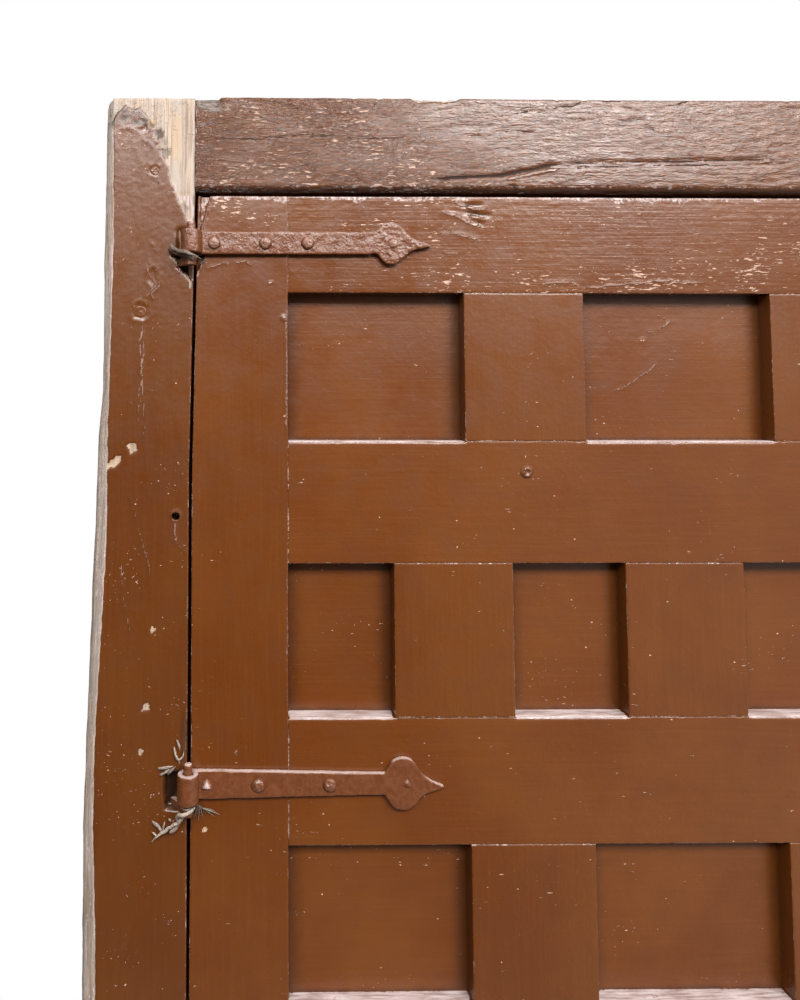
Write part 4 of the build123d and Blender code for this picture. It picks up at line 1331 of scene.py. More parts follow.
@dataclass
class FrameTimbers:
    """Left post with its waney edge, right post and head."""

    finishes: Finishes
    near: float = 1.8
    coarse: float = 9.0

    WANE = ((0.0, 16.0, 26.0), (150.0, 14.5, 28.0), (300.0, 14.5, 25.0), (345.0, 10.5, 24.0), (440.0, 8.0, 24.5),
            (540.0, 5.5, 20.0), (640.0, 2.5, 15.0), (720.0, 0.0, 14.5), (820.0, 0.5, 18.0), (1050.0, 3.0, 20.0),
            (1350.0, 6.0, 19.0), (1650.0, 3.0, 15.0), (1900.0, 1.0, 19.0), (2101.0, 1.0, 19.0))
    WANE_DEPTH = 26.0
    FIX_HOLES = ((-505.5, 500.0), (-505.5, 1678.0), (505.5, 500.0), (505.5, 1678.0))
    HOLE_RADIUS = 4.0
    POST_RELIEF = Relief(0.9, 0.12, 12.0, 160.0, 0.10)
    PLAIN_RELIEF = Relief(0.6, 0.12, 12.0, 160.0, 0.1)
    STRIP_RELIEF = Relief(0.2, 0.08, 6.0, 90.0, 0.05)
    HEAD_RELIEF = Relief(0.5, 0.3, 7.0, 60.0, 0.15)
    STRIP_STEP = 14.0
    PAINT_EDGE = ((2110.0, -532.0), (2075.0, -532.5), (2064.6, -527.5), (2046.0, -520.8), (2030.5, -515.6),
                  (2015.1, -512.5), (1999.8, -505.3), (1979.3, -498.1), (1966.0, -492.0), (1955.0, -486.0),
                  (0.0, -480.0))
    PAINT_TOP = ((-600.0, 2074.0), (-572.5, 2077.0), (-567.0, 2086.0), (-560.0, 2092.4), (-552.0, 2087.5),
                 (-544.6, 2090.4), (-538.0, 2082.0), (-531.0, 2074.0), (-500.0, 2074.0))
    POST_MARKS = (
        Mark(-525, 2063.5, 5, 5.4, depth=1, dark=0.8, ring=0.35, ragged=0.5),
        Mark(-522, 2053, 4, 6, depth=1, bare=0.7, dark=0.3, ragged=0.8),
        Mark(-518.8, 2042.9, 4.6, 5.4, depth=1, dark=0.45, ring=0.6, ragged=0.7),
        Mark(-539.3, 2066, 4, 4.6, depth=0.9, pale=0.55, ragged=0.9),
        Mark(-533, 2073, 4.5, 5, depth=0.4, bare=0.9, warm=0.9, ragged=0.5),
        Mark(-560, 2077, 5, 3, turn=15, depth=0.2, dark=0.85, ragged=0.9),
        Mark(-549, 2074, 5, 2.6, turn=-25, depth=0.2, dark=0.85, ragged=0.9),
        Mark(-542, 2074.5, 4.5, 2.4, turn=-55, depth=0.2, dark=0.88, ragged=0.9),
        Mark(-529.9, 1917.1, 6, 8, depth=0.7, rim=0.3, ring=0.35, ragged=0.8),
        Mark(-549.2, 1745.1, 4.5, 6, turn=20, depth=0.8, bare=0.75, warm=0.6, ragged=0.7),
        Mark(-567, 1731, 9, 3.6, turn=42, depth=1.2, bare=1, warm=0.6, ragged=0.6),
        Mark(-527.8, 1567.8, 3, 3.6, depth=0.8, bare=0.6, warm=0.9, ragged=0.6),
        Mark(-533.9, 1493.3, 5, 4, depth=0.9, bare=0.6, warm=0.9, ragged=0.8),
        Mark(-538.4, 1451.6, 2.6, 4, depth=0.7, bare=0.7, warm=0.9, ragged=0.6),
        Crack(((-537.8, 1908), (-541.3, 1870), (-543, 1852.5), (-540, 1815), (-537.6, 1782.7),
               (-539.2, 1743.1)), 0.55, -0.6, 3, 0.2),
        Crack(((-541, 1868), (-539, 1838), (-542, 1806), (-544, 1770)), 0.5, -0.5, 3),
        Crack(((-552.7, 1703.7), (-545, 1676), (-537.4, 1650), (-531, 1628), (-528.1, 1606.3)), 0.5, -0.5,
              2, 0.15),
        Crack(((-560, 1640), (-556, 1600), (-549, 1560)), 0.45, -0.4, 2),
        Crack(((-508.9, 1656.8), (-502, 1650), (-493, 1640.2)), 0.55, -0.7, 1.2, 0.45),
        Crack(((-505.5, 1673), (-506.5, 1662), (-504, 1654)), 0.7, -0.7, 0.8, 0.3),
        Crack(((-532, 1935), (-536, 1922), (-528, 1908), (-537, 1893)), 0.55, -0.7, 2.5, 0.3),
        Crack(((-523, 1930), (-529, 1921), (-524, 1910), (-531, 1899), (-528, 1890)), 0.5, -0.6, 2.5,
              0.3),
        Mark(-505.5, 1679.5, 5.6, 5.2, depth=-0.8, pale=0.4, ragged=0.25),
        Mark(-542.6, 1880.7, 8, 8, depth=0.7, rim=0.4, ragged=0.5, ring=0.45),
        Mark(-529, 2024.5, 5, 5, depth=0.4, rim=0.25, ragged=0.6, ring=0.35),
        Crack(((-527, 2017), (-525, 2011), (-520, 2006)), 0.45, -0.5, 1.2),
        Crack(((-535, 1953), (-529, 1947), (-527, 1940)), 0.5, -0.6, 1, 0.3),
        Crack(((-578, 1962), (-575, 1952), (-573.5, 1944)), 0.5, -0.6, 0.6, 0.4),
        Crack(((-566, 2066), (-556, 2068), (-546, 2062)), 0.5, -0.6, 2),
        Crack(((-545, 2058), (-536, 2054), (-531, 2046)), 0.5, -0.6, 2, 0.2),
    )

    HEAD_MARKS = (
        Crack(((-483.3, 2054.5), (-450, 2057), (-422.3, 2057.9), (-385, 2061), (-351, 2060.3),
               (-300, 2058), (-259, 2058.8)), 0.5, 0.5, 1.8),
        Crack(((-483.3, 2057), (-450, 2059.5), (-422.3, 2060.4), (-385, 2063.5), (-351, 2062.8),
               (-300, 2060.5), (-259, 2061.2)), 0.8, -0.5, 1.8, 0.25),
        Crack(((-249.3, 2017.4), (-208.4, 2019.7), (-177.7, 2020.8), (-146.9, 2027.2), (-114, 2034.1)), 1.2, 4, 1.2),
        Crack(((-114, 2034.1), (-75, 2035.3), (-23.6, 2036.1), (47.5, 2038), (130, 2040)), 0.7, 2.2, 0.8),
        Crack(((-114.1, 2029.4), (-75.1, 2030.1), (-34, 2031.9), (47.4, 2033.3), (130, 2035)), 0.6, 1.6, 0.8),
        Crack(((-172.7, 2016.2), (-147, 2022.5), (-114.1, 2028.9)), 1.3, -0.8, 0.8, 0.6),
        Crack(((-169.7, 2012.6), (-163.6, 2010.6), (-161.6, 2006.4)), 0.9, 1, 0.6),
        Crack(((-123, 2091.8), (-102.4, 2093), (-91.9, 2099.3)), 0.55, 1, 1.8),
        Crack(((-73.4, 2099.5), (-61, 2098.5), (-50.6, 2099.6)), 0.5, 0.8, 1.8),
        Crack(((-11.6, 2093.5), (5, 2095.7), (19.6, 2100)), 0.55, 1, 1.8),
        Crack(((-171.8, 2066.5), (-156.4, 2068.7), (-141, 2065.6)), 0.55, 0.9, 1.8),
        Crack(((-166.4, 2084.2), (-145.7, 2087.5), (-127.2, 2086.6)), 0.55, 0.9, 1.8),
        Crack(((-440, 2035), (-400, 2041), (-370, 2046)), 0.8, -0.5, 1.5),
        Crack(((-470, 2016), (-455, 2018), (-440, 2024)), 0.8, -0.6, 1.5, 0.2),
        Mark(-38, 2079, 15, 1.7, turn=4, depth=0.7, dark=0.6, ragged=0.5),
        Mark(-22, 2069.5, 7.5, 1.5, turn=-28, depth=0.7, dark=0.6, ragged=0.5),
    )

    def left_post(self) -> None:
        """The rough post that carries the hinges."""
        s = SIZES
        z = steps(0.0, s.top, self.coarse, self.near, (s.window_foot, s.window_top), 3.0)
        drop = s.top - z
        table = np.array(self.WANE)
        ring = np.stack([np.zeros_like(z), np.zeros_like(z), z], -1)
        uneven = Noise.layered(ring, (1.0, 1.0, 30.0), 61, 3)
        edge = np.interp(drop, table[:, 0], table[:, 1]) + 0.8 + 0.8 * uneven
        face = np.interp(drop, table[:, 0], table[:, 2]) + 1.2 * Noise.layered(ring, (1.0, 1.0, 18.0), 62, 3)
        shoulder = np.clip(10.0 - drop, 0, 10.0)
        edge = edge + 10.0 - np.sqrt(np.maximum(100.0 - shoulder ** 2, 0))
        face = np.maximum(face, edge + 3.0)
        gap = s.jamb_left_face + np.where(z > s.leaf_top, s.lean, s.lean_at(z))
        scoop = np.exp(-(((z - s.hollow) / 19.0) ** 2))
        belly = edge + 0.32 * (face - edge)
        corners = [
            Corner(s.left + face, s.front, 1.2, 46),
            Corner(gap, s.front, worn_radius(z, 1.6, 1.8, 63) + 4.2 * scoop, 8),
            Corner(gap, s.back, 1.5, 12),
            Corner(s.left + edge, s.back, 2.5, 8),
            Corner(s.left + edge, s.front + self.WANE_DEPTH, 4.0, 5),
            Corner(s.left + belly, s.front + 0.32 * self.WANE_DEPTH, 2.5, 5),
        ]

        def dress(surface: Surface, normals: Array, sides: Array) -> None:
            """Bare wood, chiselled pockets, worn arrises and a painted brightening of the waney edge."""
            p = surface.points
            x, zz = p[..., 0], p[..., 2]
            front = normals[..., 1] < -0.35
            jag = Noise.layered(p, (8.0, 8.0, 12.0), 64, 3)
            path = np.array(self.PAINT_EDGE)[::-1]
            right_of = x - np.interp(zz, path[:, 0], path[:, 1]) + 3.0 * jag
            crest = np.array(self.PAINT_TOP)
            above = zz - np.interp(x, crest[:, 0], crest[:, 1]) + 2.0 * jag
            layered = smooth(-14.0, -2.0, above) * smooth(1.0, -1.0, above) * (x < -530.0) * front
            surface.show(dark=layered * np.clip(0.55 + 0.9 * jag, 0, 0.85))
            bare = np.maximum(smooth(-1.5, 1.5, right_of), smooth(-1.5, 1.5, above)) * front
            surface.show(bare=bare)
            surface.height -= 1.0 * bare
            streak = smooth(8.0, 1.5, np.abs(x + 508.0)) * smooth(2026.0, 2045.0, zz) * smooth(2092.0, 2076.0, zz)
            surface.show(warm=0.5 * streak)
            crazed = smooth(2008.0, 1996.0, zz) * smooth(-520.0, -500.0, x) * bare
            surface.show(pale=crazed * np.clip(0.4 + 0.9 * jag, 0, 0.8))
            surface.show(dark=crazed * np.clip(0.15 - 1.4 * jag, 0, 0.6))
            surface.show(craze=smooth(2035.0, 2070.0, zz) * front)
            wane = ((sides >= 3.5) | (sides < -0.4)).astype(float)[None, :] * np.ones_like(x)
            surface.show(bare=wane)
            surface.edge *= 1 - wane
            lip = (np.abs(sides + 0.5) < 0.1).astype(float)[None, :] * np.ones_like(x)
            surface.show(pale=0.55 * lip * (0.6 + 0.8 * jag))
            # The waney edge is painted paler, partly its own weathered colour and partly a painted brightening for
            # the light it lacks.
            surface.show(pale=0.5 * wane * (0.85 + 0.7 * Noise.layered(p, (5.0, 5.0, 60.0), 68, 3)))
            surface.height += wane * 0.8 * Noise.layered(p, (7.0, 7.0, 90.0), 66, 3)
            for eye in s.eyes:
                spade, foot = eye.spade, eye.foot
                wide, deep = (13.0, 3.0) if spade else (22.0, 8.0)
                up = eye.top + (3.0 if spade else -5.0)
                inside = (smooth(-1.5, 2.0, x - (s.jamb_left_face - wide) + 1.5 * jag)
                          * smooth(2.0, -1.5, zz - up + jag)
                          * smooth(-2.0, 1.5, zz - (foot - 12.0) + jag) * front)
                surface.height -= deep * inside
                surface.show(bare=(0.4 if spade else 0.0) * inside)
                surface.show(dark=(0.4 if spade else 0.97) * inside)
                if spade:
                    low = foot - s.pit
                    reach = 19.0 * np.clip((zz - low) / s.pit, 0, 1) + 2.5 * jag
                    pit = smooth(-1.5, 1.0, x - (s.axis_x - reach)) * (zz < foot + 1) * (zz > low) * front
                    surface.height -= 12.0 * pit
                    surface.show(dark=0.9 * pit)
                    near = smooth(5.0, 0.5, np.abs(x - (s.axis_x - reach - 1.5)))
                    surface.show(bare=0.5 * near * (zz < foot) * (zz > low - 8) * front)
            beside = smooth(6.0, 0.0, s.jamb_left_face + s.lean - x) * smooth(1925.0, 1962.0, zz) * front
            surface.show(bare=beside)
            scooped = np.exp(-(((zz - 1466.0) / 24.0) ** 2)) * smooth(9.0, 3.0, s.jamb_left_face - x) * front
            surface.show(bare=0.3 * scooped)
            surface.show(dark=0.6 * scooped)

        piece = Piece("left_post", "frame", ["jamb_left"], Slot.TIMBER, self.finishes.post)
        piece.add(Timber(Along.UPRIGHT, z, corners, 131, self.POST_RELIEF, 3.0, self.POST_MARKS, dress))
        piece.add(self.stop_strip(s.jamb_left_face - s.stop_tuck, s.jamb_left_face + s.lean + s.stop_width, 133))
        self.drill(piece.build(), self.FIX_HOLES[:2])

    def stop_strip(self, left: float, right: float, seed: int) -> Timber:
        """Upright strip that the leaf closes against.

        Args:
            left: its left side.
            right: its right side.
            seed: picks its pattern.

        Returns:
            The strip, from the floor to the head.
        """
        s = SIZES
        corners = squared(left, right, s.stop_face, s.back - 0.4, (0.8, 1.5, 1.5, 0.8), (4, 5, 4, 4))
        return Timber(Along.UPRIGHT, steps(0.0, s.head_bottom, self.STRIP_STEP), corners, seed, self.STRIP_RELIEF)

    def right_post(self) -> None:
        """The plainly squared post."""
        s = SIZES
        z = steps(0.0, s.top, self.coarse, end=2.0)
        corners = squared(s.jamb_right_face, s.right, s.front, s.back,
                          (worn_radius(z, 1.4, 1.4, 67), worn_radius(z, 2.0, 2.5, 68), 2.0, 1.5), (14, 9, 10, 9))
        piece = Piece("right_post", "frame", ["jamb_right"], Slot.TIMBER, self.finishes.post)
        piece.add(Timber(Along.UPRIGHT, z, corners, 141, self.PLAIN_RELIEF, 2.0))
        piece.add(self.stop_strip(s.jamb_right_face - s.stop_width, s.jamb_right_face + s.stop_tuck, 143))
        self.drill(piece.build(), self.FIX_HOLES[2:])

    def drill(self, post: bpy.types.Object, places: Sequence[Point]) -> None:
        """Cut the fixing holes through a post.

        Args:
            post: the post's object.
            places: the middles of the holes in the front view.
        """
        for x, z in places:
            work = bmesh.new()
            turn = Matrix.Translation((x * MM, 0.5 * (SIZES.front + SIZES.back) * MM, z * MM)) @ Matrix.Rotation(
                math.pi / 2, 4, "X")
            bmesh.ops.create_cone(work, cap_ends=True, segments=28, radius1=self.HOLE_RADIUS * MM,
                                  radius2=self.HOLE_RADIUS * MM, depth=0.12, matrix=turn)
            bit = place_in_scene("bit", mesh_from(work, "bit"))
            cut = post.modifiers.new("hole", "BOOLEAN")
            cut.operation, cut.solver, cut.object = "DIFFERENCE", "FAST", bit
            settle(post)
            bpy.data.objects.remove(bit)

    def head(self) -> None:
        """The split board across the top."""
        s = SIZES
        left = s.jamb_left_face + s.lean
        x = steps(left, s.jamb_right_face, self.coarse, 2.0, (left, s.window_right), 0.8)
        corners = [
            Corner(s.head_bottom + 6.0, s.front, worn_radius(x, 2.0, 1.5, 69), 46),
            Corner(s.top, s.front, worn_radius(x, 2.2, 2.6, 70), 16),
            Corner(s.top, s.back, 2.0, 10),
            Corner(s.head_bottom, s.back, 1.0, 9),
            Corner(s.head_bottom, s.front + 6.0, 1.5, 3),
        ]
        def dress(surface: Surface, normals: Array, sides: Array) -> None:
            """Broken corner, chip, deeply weathered grain, painted shade under the bevel and a painted highlight
            along its lower edge.
            """
            p = surface.points
            xx, zz = p[..., 0], p[..., 2]
            front = normals[..., 1] < -0.5
            jag = Noise.layered(p, (7.0, 7.0, 5.0), 74, 3)
            upward = normals[..., 2] > 0.5
            notch = smooth(1.5, -1.5, xx - (left + 24.5) + 1.5 * jag) * (p[..., 1] < s.front + 45.0)
            surface.height -= np.where(upward, 8.5 * notch, 0)
            cut = notch * smooth(-1.0, 1.0, zz - (s.top - 9.0)) * front
            surface.height -= 3.0 * cut
            fresh = notch * smooth(-14.0, -7.0, zz - s.top + 3 * jag + (xx - left) * 0.25)
            surface.show(bare=0.9 * fresh)
            surface.show(dark=fresh * np.clip(0.42 - 0.6 * jag, 0, 0.7))
            chip = smooth(26.0, 20.0, np.abs(xx + 243.0)) * smooth(-5.5, -1.5, zz - s.top + 1.5 * jag)
            surface.height -= np.where(upward, 3.5 * chip, 1.5 * chip * front)
            surface.show(bare=0.95 * chip)
            bent = p.copy()
            bent[..., 2] += 9.0 * Noise.plain(p, (80.0, 80.0, 50.0), 75) + 3.0 * Noise.plain(p, 22.0, 76)
            split = 1 - 2 * np.abs(Noise.layered(bent, (46.0, 9.0, 5.2), 77, 3, 0.6))
            surface.height += 0.19 * split * front
            drift = 45.0 * Noise.layered(p, (90.0, 90.0, 40.0), 78, 2)
            surface.show(craze=front * smooth(-130.0, -330.0, xx + 1.5 * (zz - 2050.0) + drift))
            # Downward faces of the lower bevel are painted dark: painted shade.
            under = smooth(-0.2, -0.6, normals[..., 2]) * smooth(s.head_bottom + 4.6, s.head_bottom + 2.6, zz)
            under = under * (p[..., 1] < s.front + 8.0)
            surface.show(dark=0.9 * under)
            # Pale along the bevel's lower edge: a painted highlight.
            lower = smooth(3.0, 0.5, np.abs(zz - s.head_bottom - 6.5 + 1.5 * jag)) * (normals[..., 1] < -0.3)
            surface.show(pale=0.45 * lower * (0.8 + 1.2 * jag))
            worn = smooth(5.5, 1.0, xx - left + 2.5 * jag) * front
            surface.show(pale=worn * np.clip(0.42 + 0.55 * jag, 0, 0.75))
            surface.show(dark=worn * np.clip(-0.1 - 1.1 * jag, 0, 0.6))

        piece = Piece("head_board", "frame", ["head_beam"], Slot.TIMBER, self.finishes.lintel)
        piece.add(Timber(Along.LEVEL, x, corners, 151, self.HEAD_RELIEF, 0.8, self.HEAD_MARKS, dress))
        strip = squared(s.head_bottom - s.stop_width, s.head_bottom + s.stop_tuck, s.stop_face, s.back - 0.4,
                        (1.5, 0.8, 0.8, 1.5), (4, 5, 4, 5))
        x = steps(left + s.stop_width, s.jamb_right_face - s.stop_width, self.STRIP_STEP)
        piece.add(Timber(Along.LEVEL, x, strip, 153, self.STRIP_RELIEF))
        piece.build()

    def build(self) -> None:
        """Build the posts and the head."""
        self.left_post()
        self.right_post()
        self.head()


class Head(Enum):
    """Shapes of nail heads and plugs."""

    ROSE = "rose"
    DOME = "dome"
    FLAT = "flat"
    LUMP = "lump"


@dataclass(frozen=True)
class Button:
    """A nail head, peg end or plug, as a small uneven cap.

    Args:
        x, z: its middle, in millimetres.
        base: depth of the face it sits on.
        radius: its radius.
        height: how far it stands out.
        kind: its shape.
        seed: picks its unevenness.
        outward: -1 where it faces the front, 1 where it faces the back.
        tilt: how much higher one side is, in millimetres.
        sides: how many facets a forged head has.
        turn: degrees by which it is turned.
        pale: how much pale worn paint it shows.
    """

    x: float
    z: float
    base: float
    radius: float
    height: float
    kind: Head
    seed: int
    outward: float = -1.0
    tilt: float = 0.0
    sides: int = 4
    turn: float = 0.0
    pale: float = 0.3

    RINGS = 11
    SPOKES = 36

    def shell(self) -> Tuple[Array, Faces, Surface]:
        """Points, faces and surface of the cap."""
        rho = np.linspace(0, 1, self.RINGS + 1)[1:]
        theta = np.arange(self.SPOKES) * 2 * math.pi / self.SPOKES
        r, t = np.meshgrid(rho, theta, indexing="ij")
        ring = np.stack([np.cos(t) * 9 + self.seed, np.sin(t) * 9, np.zeros_like(t)], -1)
        outline = 1 + 0.10 * Noise.layered(ring, 7.0, self.seed, 2)
        if self.kind is Head.ROSE:
            wedge = 2 * math.pi / self.sides
            local = (t - math.radians(self.turn)) % wedge - wedge / 2
            outline = outline * (math.cos(wedge / 2) / np.cos(local)) ** 0.5
            rise = 1 - 0.85 * np.clip(r - 0.3, 0, 1) / 0.7
        elif self.kind is Head.DOME:
            rise = np.sqrt(np.clip(1 - (0.94 * r) ** 2, 0, 1))
        elif self.kind is Head.LUMP:
            rise = 0.55 + 0.45 * np.sin(np.clip(r, 0, 1) * math.pi) ** 2 - 0.35 * np.clip(r - 0.7, 0, 1) / 0.3
        else:
            rise = 1 - 0.6 * smooth(0.82, 1.0, r)
        u, v = r * np.cos(t) * self.radius * outline, r * np.sin(t) * self.radius * outline
        spots = np.stack([u + self.x, np.full_like(u, self.base), v + self.z], -1)
        rough = Noise.layered(spots, 4.0, self.seed + 3, 3)
        high = self.height * rise * (1 + 0.3 * rough) + self.tilt * (u / self.radius)
        high = np.where(r > 0.999, np.minimum(high, 0.1 * self.height), high)
        spots[..., 1] = self.base + self.outward * high
        centre = np.array([[self.x, self.base + self.outward * self.height * float(rise[0].mean()), self.z]])
        skirt = spots[-1].copy()
        skirt[:, 1] = self.base - self.outward * 1.2
        points = np.concatenate([centre, spots.reshape(-1, 3), skirt])
        n, m = self.SPOKES, self.RINGS
        faces: Faces = []
        for i in range(n):
            j = (i + 1) % n
            faces.append((0, 1 + j, 1 + i))
            for k in range(m):
                a, b = 1 + k * n, 1 + (k + 1) * n
                faces.append((a + i, a + j, b + j, b + i))
        faces.append(tuple(1 + m * n + i for i in range(n)))
        if self.outward > 0:
            faces = [face[::-1] for face in faces]
        surface = Surface.over(points)
        crown = np.concatenate([[1.0], rise.reshape(-1), np.zeros(n)])
        surface.pale += self.pale * (0.55 + 0.45 * smooth(0.3, 0.9, crown))
        return points, faces, surface


@dataclass(frozen=True)
class Forging:
    """A forged piece: the solid's shape, softened, dented and thick with paint.

    Args:
        node: the solid it stands for.
        body: the body it moves with.
        seed: picks its dents.
        voxel: fineness in millimetres.
        dent: depth of its hammer marks.
        soften: rounds of smoothing.
        silver: how much pale wrinkled paint its face shows.
        tip: place across, in millimetres, beyond which it is paler and more wrinkled.
    """

    node: str
    body: str
    seed: int
    voxel: float = 1.1
    dent: float = 0.45
    soften: int = 5
    silver: float = 0.1
    tip: float = 1e4

    def build(self, material: bpy.types.Material) -> bpy.types.Object:
        """Make the piece.

        Args:
            material: its finish.

        Returns:
            The new object.
        """
        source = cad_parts[self.node]
        work = bmesh.new()
        work.from_mesh(source.data)
        bmesh.ops.remove_doubles(work, verts=work.verts, dist=1e-6)
        name = self.node + "_forged"
        obj = place_in_scene(name, mesh_from(work, name))
        even = obj.modifiers.new("even", "REMESH")
        even.mode, even.voxel_size, even.adaptivity = "VOXEL", self.voxel * MM, 0.0
        soft = obj.modifiers.new("soft", "SMOOTH")
        soft.factor, soft.iterations = 0.5, self.soften
        ready = settle(obj)
        count = len(ready.vertices)
        spots, ways = np.empty(count * 3, np.float32), np.empty(count * 3, np.float32)
        ready.vertices.foreach_get("co", spots)
        ready.vertices.foreach_get("normal", ways)
        spots, ways = spots.reshape(-1, 3).astype(float) / MM, ways.reshape(-1, 3).astype(float)
        high = self.dent * Noise.layered(spots, 13.0, self.seed, 2)
        wrinkle = Noise.layered(spots, 3.4, self.seed + 9, 2)
        finial = smooth(self.tip, self.tip + 12.0, spots[:, 0])
        high += (0.12 + 0.35 * finial) * wrinkle
        spots = spots + ways * (high - 0.1)[:, None]
        ready.vertices.foreach_set("co", (inside_box(spots) * MM).astype(np.float32).reshape(-1))
        patchy = Noise.layered(spots, (18.0, 18.0, 12.0), self.seed + 4, 3)
        # Faces turned upwards are painted paler: a painted highlight from the light above.
        pale = (self.silver * (1.0 + 1.6 * patchy) + 0.85 * smooth(0.35, 0.9, ways[:, 2])
                + 0.12 * finial * (1 + 3.0 * wrinkle))
        held = ready.attributes.new("pale", "FLOAT", "POINT")
        held.data.foreach_set("value", np.clip(pale, 0, 1).astype(np.float32))
        ready.polygons.foreach_set("use_smooth", np.ones(len(ready.polygons), bool))
        ready.update()
        ready.materials.clear()
        ready.materials.append(material)
        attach(obj, self.body)
        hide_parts(self.node)
        LOG.info("%s: %d faces", obj.name, len(ready.polygons))
        return obj


@dataclass(frozen=True)
class Strand:
    """A splinter or fibre that tapers along its path.

    Args:
        path: its points in millimetres.
        thick: its half width at the thickest place.
        flat: its thickness over its width.
        seed: picks its unevenness.
        pale: 1 for bare fibre and 0 for painted.
    """

    path: Tuple[Place, ...]
    thick: float
    flat: float = 0.6
    seed: int = 1
    pale: float = 1.0

    SIDES = 7

    def shell(self) -> Tuple[Array, Faces, Surface]:
        """Points, faces and surface of the strand."""
        nodes = np.array(self.path, float)
        along = np.linspace(0, len(nodes) - 1, 6 * (len(nodes) - 1) + 1)
        spine = np.stack([np.interp(along, np.arange(len(nodes)), nodes[:, k]) for k in range(3)], -1)
        for _ in range(4):
            spine[1:-1] = (spine[:-2] + 2 * spine[1:-1] + spine[2:]) / 4
        jitter = np.stack([Noise.plain(spine, 6.0, self.seed + k) for k in range(3)], -1)
        spine = spine + 0.35 * self.thick * jitter
        way = np.gradient(spine, axis=0)
        way /= np.linalg.norm(way, axis=1, keepdims=True)
        side = np.cross(way, (0.0, 1.0, 0.0))
        side /= np.maximum(np.linalg.norm(side, axis=1, keepdims=True), 1e-6)
        up = np.cross(side, way)
        share = along / along[-1]
        width = self.thick * np.clip(np.minimum(share * 6 + 0.35, (1 - share) * 2.2 + 0.12), 0.08, 1)
        width = width * (1 + 0.25 * Noise.plain(spine, 4.0, self.seed + 9))
        theta = np.arange(self.SIDES) * 2 * math.pi / self.SIDES
        rings = (spine[:, None] + side[:, None] * (np.cos(theta)[None, :, None] * width[:, None, None])
                 + up[:, None] * (np.sin(theta)[None, :, None] * width[:, None, None] * self.flat))
        n, m = len(spine), self.SIDES
        index = np.arange(n * m).reshape(n, m)
        quads = np.stack([index[:-1], np.roll(index, -1, 1)[:-1], np.roll(index, -1, 1)[1:], index[1:]], -1)
        faces = [tuple(q) for q in quads.reshape(-1, 4).tolist()]
        faces.append(tuple(range(m))[::-1])
        faces.append(tuple(range((n - 1) * m, n * m)))
        surface = Surface.over(rings.reshape(-1, 3))
        surface.pale += self.pale
        return surface.points, faces, surface


